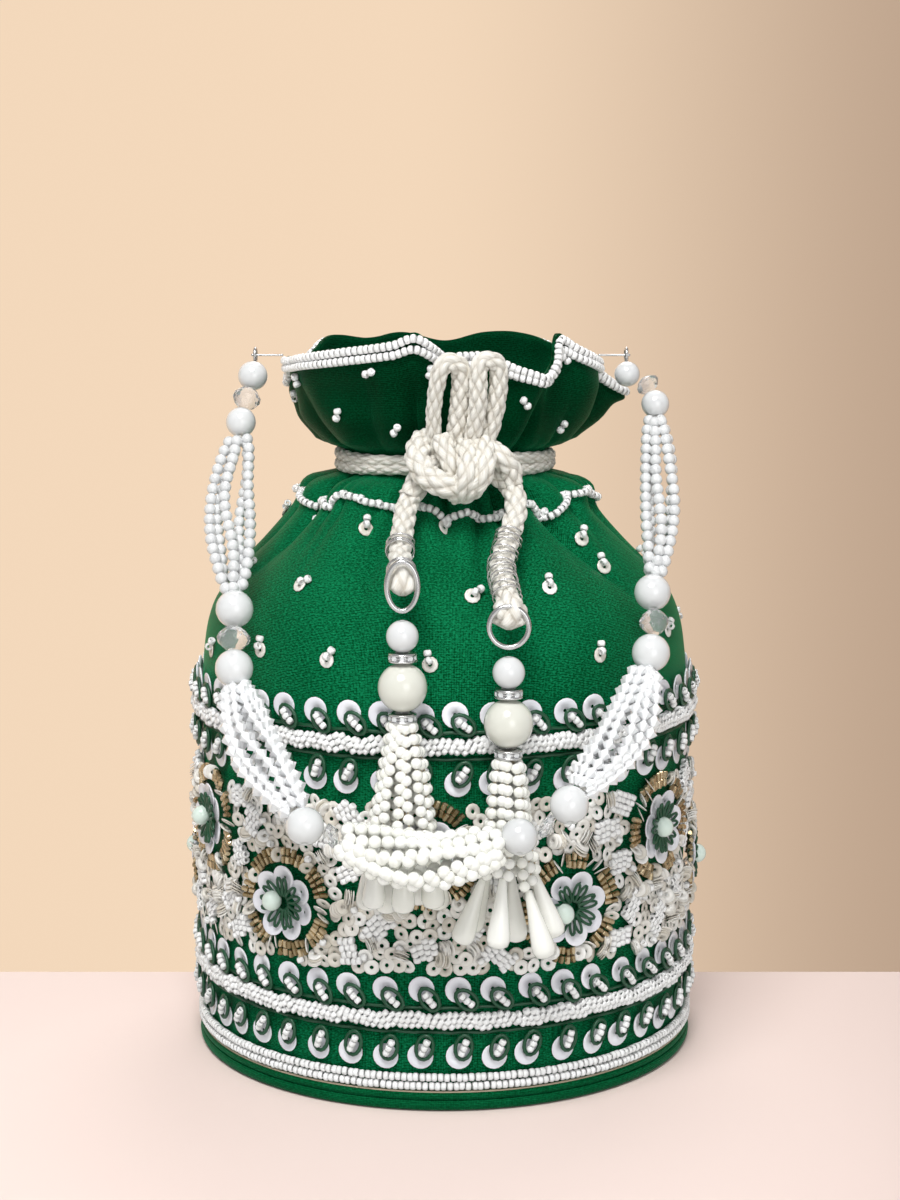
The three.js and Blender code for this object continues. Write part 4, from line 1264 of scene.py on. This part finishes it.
def set_ring(name, body, axis, low, high, stands_for=()):
    """A ring of set stones between two heights."""
    metal, glass = stone_ring(0.0074, high - low)
    middle = at_place((*axis, (low + high) / 2))
    piece(f"{name}_ring", repeated(metal, middle), silver, body, stands_for)
    piece(f"{name}_gems", repeated(glass, middle), gem, body, smooth=False)


def tassel(side_name, strand_count, strand_share, spread_x, spread_y, drop_spread, seed_number):
    body = f"tassel_{side_name}"
    generator = np.random.default_rng(seed_number)
    spot, size = middle_of(f"{body}_eye")
    ring_of_wire(f"{side_name}_eye_wire", spot, size[0] / 2 - 0.0005, 0.0005, body, [f"{body}_eye"])
    axis = np.array([spot[0], spot[1]])
    low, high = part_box(f"{body}_small_pearl")
    small_size = 0.0083
    upper = repeated(ball(small_size, 32, 20, 0.0007), at_place((*axis, high[2] - small_size / 2)))
    piece(f"{side_name}_small_round", upper, pearl_white, body, [f"{body}_small_pearl"])
    set_ring(f"{side_name}_upper", body, axis, low[2], high[2] - small_size)
    low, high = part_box(f"{body}_large_pearl")
    large_size = 0.0126
    lower = repeated(ball(large_size, 40, 26, 0.0008), at_place((*axis, high[2] - large_size / 2)))
    piece(f"{side_name}_large_round", lower, pearl_ivory, body, [f"{body}_large_pearl"])
    low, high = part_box(f"{body}_stones")
    set_ring(f"{side_name}_lower", body, axis, low[2], high[2], [f"{body}_stones"])
    low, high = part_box(f"{body}_fringe")
    top = high[2] + 0.0002
    fall = top - low[2]
    beads = []
    drops = []
    threads = []
    pairs = strand_count // 2
    half_gap = 0.00135
    strand_pitch = 0.0029
    lean = 0.0032
    for k in range(strand_count):
        turn = 2 * math.pi * (k // 2 + 0.3) / pairs
        beside = half_gap * (2 * (k % 2) - 1)
        out = np.array((math.cos(turn), math.sin(turn)))
        length = (fall - drop_length) * (1 - strand_share * generator.uniform(0, 1))
        count = int(length / strand_pitch)
        share = (np.arange(count) + generator.uniform(0.2, 0.9)) / count
        bow = 0.0013 + (1 - 0.0013) * share ** 0.8
        wave = generator.uniform(0, 6)
        parting = beside * share ** 0.4
        waver = 0.0003 * np.sin(share * 6 + wave)
        x = axis[0] + out[0] * (0.0023 + spread_x * bow) + waver - out[1] * parting
        y = axis[1] + out[1] * (0.0020 + spread_y * bow) + out[0] * parting - lean * share
        z = top - share * length
        spots = np.stack([x, y, z], -1)
        for place in spots:
            beads.append(repeated(strand_pearl, at_place(place)))
        threads.append(tube(np.concatenate([[(*axis, top)], spots]), 0.00025, 5))
        if k % 2:
            continue
        end = spots[-1] + np.array((-out[1] * half_gap, out[0] * half_gap, -0.0012))
        hang = np.array((out[0] * drop_spread, out[1] * drop_spread * 0.3, -1.0))
        down = hang / np.linalg.norm(hang)
        side = np.cross((0, 1, 0), down)
        side /= np.linalg.norm(side)
        axes = np.array([side, np.cross(-down, side), -down, end])
        drops.append(repeated(drop, axes[None]))
    piece(f"{side_name}_strands", merged(beads), strand_ivory, body, [f"{body}_fringe"])
    piece(f"{side_name}_drops", merged(drops), strand_ivory, body, [f"{body}_fringe"])
    piece(f"{side_name}_threads", merged(threads), beige_thread, body, [f"{body}_fringe"])


gem = finish("set_stones", (0.92, 0.94, 0.95), 0.05, 0.35, Coat_Weight=1.0)
grainy(gem, 800, 0.05, 0.00005)
tassel("left", 14, 0.10, 0.0060, 0.0032, 0.10, 81)
tassel("right", 12, 0.12, 0.0044, 0.0030, 0.36, 82)


# Handle: pearls, cut stones and bundles of strands, hanging in a sloping plane from two pins.
hinge_y = -0.002
hinge_z = 0.195
chain = [
    ("left_1", "pearl", -0.0534, 0.007, 0.0083), ("left_2", "crystal", -0.0548, 0.0146, 0.0078, 0.0068),
    ("left_3", "pearl", -0.056, 0.0224, 0.0083), ("left_4", "pearl", -0.055, 0.0809, 0.010),
    ("left_5", "crystal", -0.0549, 0.0896, 0.0088, 0.0067), ("left_6", "pearl", -0.0543, 0.0983, 0.010),
    ("left_7", "pearl", -0.0346, 0.1424, 0.0097), ("left_8", "crystal", -0.0279, 0.145, 0.0064, 0.0034),
    ("right_8", "pearl", 0.0188, 0.1452, 0.0093), ("right_7", "crystal", 0.0257, 0.1425, 0.0064, 0.0032),
    ("right_6", "pearl", 0.0315, 0.1366, 0.0099), ("right_5", "pearl", 0.0538, 0.0938, 0.010),
    ("right_4", "crystal", 0.055, 0.08475, 0.0078, 0.007), ("right_3", "pearl", 0.055, 0.0759, 0.0097),
    ("right_2", "pearl", 0.0584, 0.0164, 0.0078), ("right_1", "crystal", 0.0566, 0.010, 0.0068, 0.0046),
    ("right_0", "pearl", 0.051, 0.0064, 0.0071),
]
crystal_turns = {
    "left_2": 0.2, "left_5": 0, "left_8": 1.35, "right_7": -1.05, "right_4": -0.08, "right_1": -0.6,
}
handle_across = np.array((1.0, 0, 0))
handle_out = np.array((0, -0.8, 0.6))
handle_down = np.array((0, -0.6, -0.8))


def hung(x, down, out=0.0):
    return (
        np.array((0, hinge_y, hinge_z))
        + np.multiply.outer(x, handle_across)
        + np.multiply.outer(down, handle_down)
        + np.multiply.outer(out, handle_out)
    )


def facing(direction, place):
    """Axes with Z along a direction."""
    direction = np.array(direction, float) / np.linalg.norm(direction)
    side = np.cross(handle_out, direction)
    side /= np.linalg.norm(side)
    return np.array([side, np.cross(direction, side), direction, place])


def cut_stone(diameter, thickness, sides=10):
    """A faceted stone whose hole runs along Z."""
    half = thickness / 2
    reach = diameter / 2
    rows = [
        (0.30, -1.0, 0), (0.72, -0.62, 0.5), (1.0, -0.14, 0), (1.0, 0.14, 0.5), (0.72, 0.62, 0),
        (0.30, 1.0, 0.5),
    ]
    points = []
    for out, level, phase in rows:
        turn = full_turn(sides, phase)
        ring = [reach * out * np.cos(turn), reach * out * np.sin(turn), np.full(sides, half * level)]
        points.append(np.stack(ring, -1))
    triangles = []
    here = np.arange(sides)
    after = (here + 1) % sides
    for k in range(len(rows) - 1):
        low = k * sides
        high = low + sides
        if rows[k][2] < rows[k + 1][2]:
            triangles.append(np.stack([low + here, low + after, high + here], -1))
            triangles.append(np.stack([high + here, low + after, high + after], -1))
        else:
            triangles.append(np.stack([low + here, high + after, high + here], -1))
            triangles.append(np.stack([low + here, low + after, high + after], -1))
    triangles.append(end_caps(len(rows) * sides, sides))
    points = np.concatenate(points + [np.array([[0, 0, -half], [0, 0, half]])])
    return shaped(points, (), np.concatenate(triangles))


handle_pearls = []
handle_stones = []
pearl_nodes = []
stone_nodes = []
for name, kind, x, down, width, *thickness in chain:
    if kind == "pearl":
        axes = facing(handle_down, hung(x, down))
        handle_pearls.append(repeated(ball(width, 24, 16, 0.0006), axes[None]))
        pearl_nodes.append(f"handle_pearl_{name}")
    else:
        turn = crystal_turns[name]
        direction = handle_down * math.cos(turn) - handle_across * math.sin(turn)
        axes = facing(direction, hung(x, down))
        handle_stones.append(repeated(cut_stone(width, thickness[0]), axes[None]))
        stone_nodes.append(f"handle_crystal_{name}")
piece("handle_pearls", merged(handle_pearls), pearl_white, "handle", pearl_nodes)
piece("handle_stones", merged(handle_stones), clear_glass, "handle", stone_nodes, smooth=False)


def strands(name, route, count, beads, half_width, half_depth, end_share, template, look, slot,
            seed_number):
    """Strands that part and meet again between two ends of the handle."""
    twist = 0.5
    generator = np.random.default_rng(seed_number)
    path = smooth_route([hung(x, down) for x, down in route], 160)
    forward = unit(np.gradient(path, axis=0))
    side = unit(np.cross(forward, handle_out))
    copies = []
    threads = []
    for k in range(count):
        turn = 2 * math.pi * k / count + generator.uniform(-0.2, 0.2)
        reach = generator.uniform(0.75, 1.0)
        share = (np.arange(beads) + generator.uniform(0.15, 0.85)) / beads
        swell = end_share + (1 - end_share) * np.sqrt(np.sin(math.pi * share))
        angle = turn + twist * share + 0.15 * np.sin(share * 9 + k)
        at = share * (len(path) - 1)
        rows = np.arange(len(path))
        centre = read_at(at, rows, path)
        sideways = read_at(at, rows, side)
        spots = (
            centre
            + sideways * (half_width * reach * swell * np.cos(angle))[:, None]
            + handle_out * (half_depth * reach * swell * np.sin(angle))[:, None]
        )
        ahead = np.gradient(spots, axis=0)
        for place, direction in zip(spots, ahead):
            copies.append(repeated(template, facing(direction, place)[None]))
        ends = np.concatenate([path[:1], spots, path[-1:]])
        threads.append(tube(ends, 0.00022, 5))
    piece(name, merged(copies), look, "handle", [f"handle_{name}"], smooth=look is not clear_crystal)
    piece(f"{name}_threads", merged(threads), thread_white, "handle")


thread_white = finish("white_thread", (0.8, 0.78, 0.72), 0.6)
grainy(thread_white, 1500, 0.3, 0.0001)
small_pearl = ball(0.0033, 12, 8, 0.0004)
middle_pearl = ball(0.0034, 12, 8, 0.0004)
bicone = turned([(0, -0.0016), (0.0005, -0.0016), (0.0019, 0), (0.0005, 0.0016), (0, 0.0016)], 6)
left_strands = (5, 16, 0.0058, 0.0021, 0.22, small_pearl, pearl_white, "pearl")
right_strands = (5, 16, 0.0054, 0.0021, 0.22, small_pearl, pearl_white, "pearl")
centre_strands = (14, 13, 0.0074, 0.0034, 0.45, middle_pearl, strand_ivory, "pearl")
crystal_strands = (11, 13, 0.0062, 0.0028, 0.35, bicone, clear_crystal, "crystal")
strands("strands_left", [(-0.056, 0.0269), (-0.0574, 0.052), (-0.0556, 0.0756)], *left_strands, 91)
strands("strands_right", [(0.0582, 0.0207), (0.0586, 0.046), (0.056, 0.0708)], *right_strands, 92)
strands("strands_centre", [(-0.0254, 0.146), (-0.0054, 0.1512), (0.0141, 0.1475)], *centre_strands, 93)
strands("crystals_left", [(-0.0537, 0.1034), (-0.0476, 0.121), (-0.0369, 0.1379)], *crystal_strands, 94)
strands("crystals_right", [(0.0344, 0.1322), (0.046, 0.117), (0.05255, 0.0986)], *crystal_strands, 95)

for side_name in ("left", "right"):
    spot, size = middle_of(f"handle_loop_{side_name}")
    turn = full_turn(32)
    wire = 0.0005
    reach = size[2] / 2 - wire
    path = np.stack([0 * turn, np.cos(turn), np.sin(turn)], -1) * reach + spot
    piece(f"end_loop_{side_name}", tube(path, wire, 8, True), silver, "handle",
          [f"handle_loop_{side_name}"])
    spot, size = middle_of(f"handle_pin_{side_name}")
    loop_spot, _ = middle_of(f"handle_loop_{side_name}")
    past_loop = abs(loop_spot[0] - spot[0]) + 0.0012
    half = size[0] / 2
    low, high = (-past_loop, half) if side_name == "left" else (-half, past_loop)
    reach = size[2] / 2
    profile = [
        (0, low), (reach * 0.6, low + 0.0002), (reach * 0.4, low + 0.0006),
        (reach * 0.4, high - 0.0006), (reach * 0.6, high - 0.0002), (0, high),
    ]
    axes = np.array([(0, 1, 0), (0, 0, 1), (1, 0, 0), spot], float)
    piece(f"pin_{side_name}", repeated(turned(profile, 16), axes[None]), silver, "bag",
          [f"handle_pin_{side_name}"])

for node_name, look in (("base_board", card), ("wall_stiffener", card), ("lining", lining_silk)):
    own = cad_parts[node_name]
    own.data.materials.clear()
    own.data.materials.append(look)


# Floor, wall and light.
def plain_plane(name, corners, look):
    mesh = bpy.data.meshes.new(name)
    mesh.from_pydata(corners, [], [(0, 1, 2, 3)])
    mesh.materials.append(look)
    made = bpy.data.objects.new(name, mesh)
    bpy.context.scene.collection.objects.link(made)


def across_colour(made, left, right, start, end):
    """A colour that runs from left to right as seen from the front, used as painted shade that darkens the
    floor and wall to the right.
    """
    parts = parts_of(made, node(made, "ShaderNodeNewGeometry").outputs["Position"])
    ahead = maths(made, "MAXIMUM", maths(made, "ADD", parts["Y"], 0.62), 0.4)
    share = mapped(made, maths(made, "DIVIDE", parts["X"], ahead), start, end, kind="SMOOTHSTEP")
    return blended(made, share, left, right)


floor_look = finish("floor", (0.9, 0.8, 0.75), 0.85)
seen = node(floor_look, "ShaderNodeLightPath").outputs["Is Camera Ray"]
# Painted shade: the floor the camera sees gets darker to the right.
seen_floor_painted_shade = across_colour(floor_look, (0.93, 0.77, 0.71), (0.66, 0.53, 0.49), 0.03, 0.42)
coloured(floor_look, blended(floor_look, seen, (0.72, 0.70, 0.68), seen_floor_painted_shade))
wall_look = finish("wall", (0.8, 0.7, 0.55), 0.9)
# Painted shade: the wall is darker to the right, as if less lit there, and the camera sees it as glow.
wall_painted_shade = across_colour(wall_look, (0.90, 0.69, 0.50), (0.50, 0.36, 0.26), -0.03, 0.25)
coloured(wall_look, wall_painted_shade)
glow = node(wall_look, "ShaderNodeEmission", Strength=1.0)
link(wall_look, wall_painted_shade, glow.inputs["Color"])
rays = node(wall_look, "ShaderNodeLightPath").outputs
mirrored = maths(wall_look, "MAXIMUM", rays["Is Camera Ray"], rays["Is Glossy Ray"])
glowing = maths(wall_look, "MAXIMUM", mirrored, rays["Is Transmission Ray"])
choice = node(wall_look, "ShaderNodeMixShader")
link(wall_look, glowing, choice.inputs[0])
link(wall_look, shader_of(wall_look).outputs[0], choice.inputs[1])
link(wall_look, glow.outputs[0], choice.inputs[2])
link(wall_look, choice.outputs[0], wall_look.node_tree.nodes["Material Output"].inputs["Surface"])

floor_edge = 0.0467
wall_place = 1.6
half_wide = 3
for name, near, far, top, look in (
    ("floor", -3, floor_edge, 0, floor_look),
    ("wall_foot", floor_edge, wall_place, 0, wall_look),
    ("wall", wall_place, wall_place, 3, wall_look),
):
    corners = [(-half_wide, near, 0), (half_wide, near, 0), (half_wide, far, top), (-half_wide, far, top)]
    plain_plane(name, corners, look)


def area_light(name, place, target, size, power):
    data = bpy.data.lights.new(name, "AREA")
    data.shape = "DISK"
    data.size = size
    data.energy = power
    made = bpy.data.objects.new(name, data)
    made.location = place
    gap = np.array(target) - np.array(place)
    made.rotation_euler = (math.atan2(math.hypot(gap[0], gap[1]), -gap[2]), 0, math.atan2(-gap[0], gap[1]))
    bpy.context.scene.collection.objects.link(made)


area_light("key", (-0.12, -0.62, 0.95), (0, 0, 0.1), 0.45, 8.6)
area_light("front", (0.35, -1.1, 0.30), (0, 0, 0.1), 0.6, 2.0)
area_light("back", (0.1, 0.5, 0.85), (0, 0, 0.15), 0.5, 2.5)
world = bpy.data.worlds.new("world")
world.use_nodes = True
background = world.node_tree.nodes["Background"]
background.inputs["Color"].default_value = (0.98, 0.99, 1, 1)
background.inputs["Strength"].default_value = 0.38
bpy.context.scene.world = world
bpy.context.scene.view_settings.view_transform = "Standard"
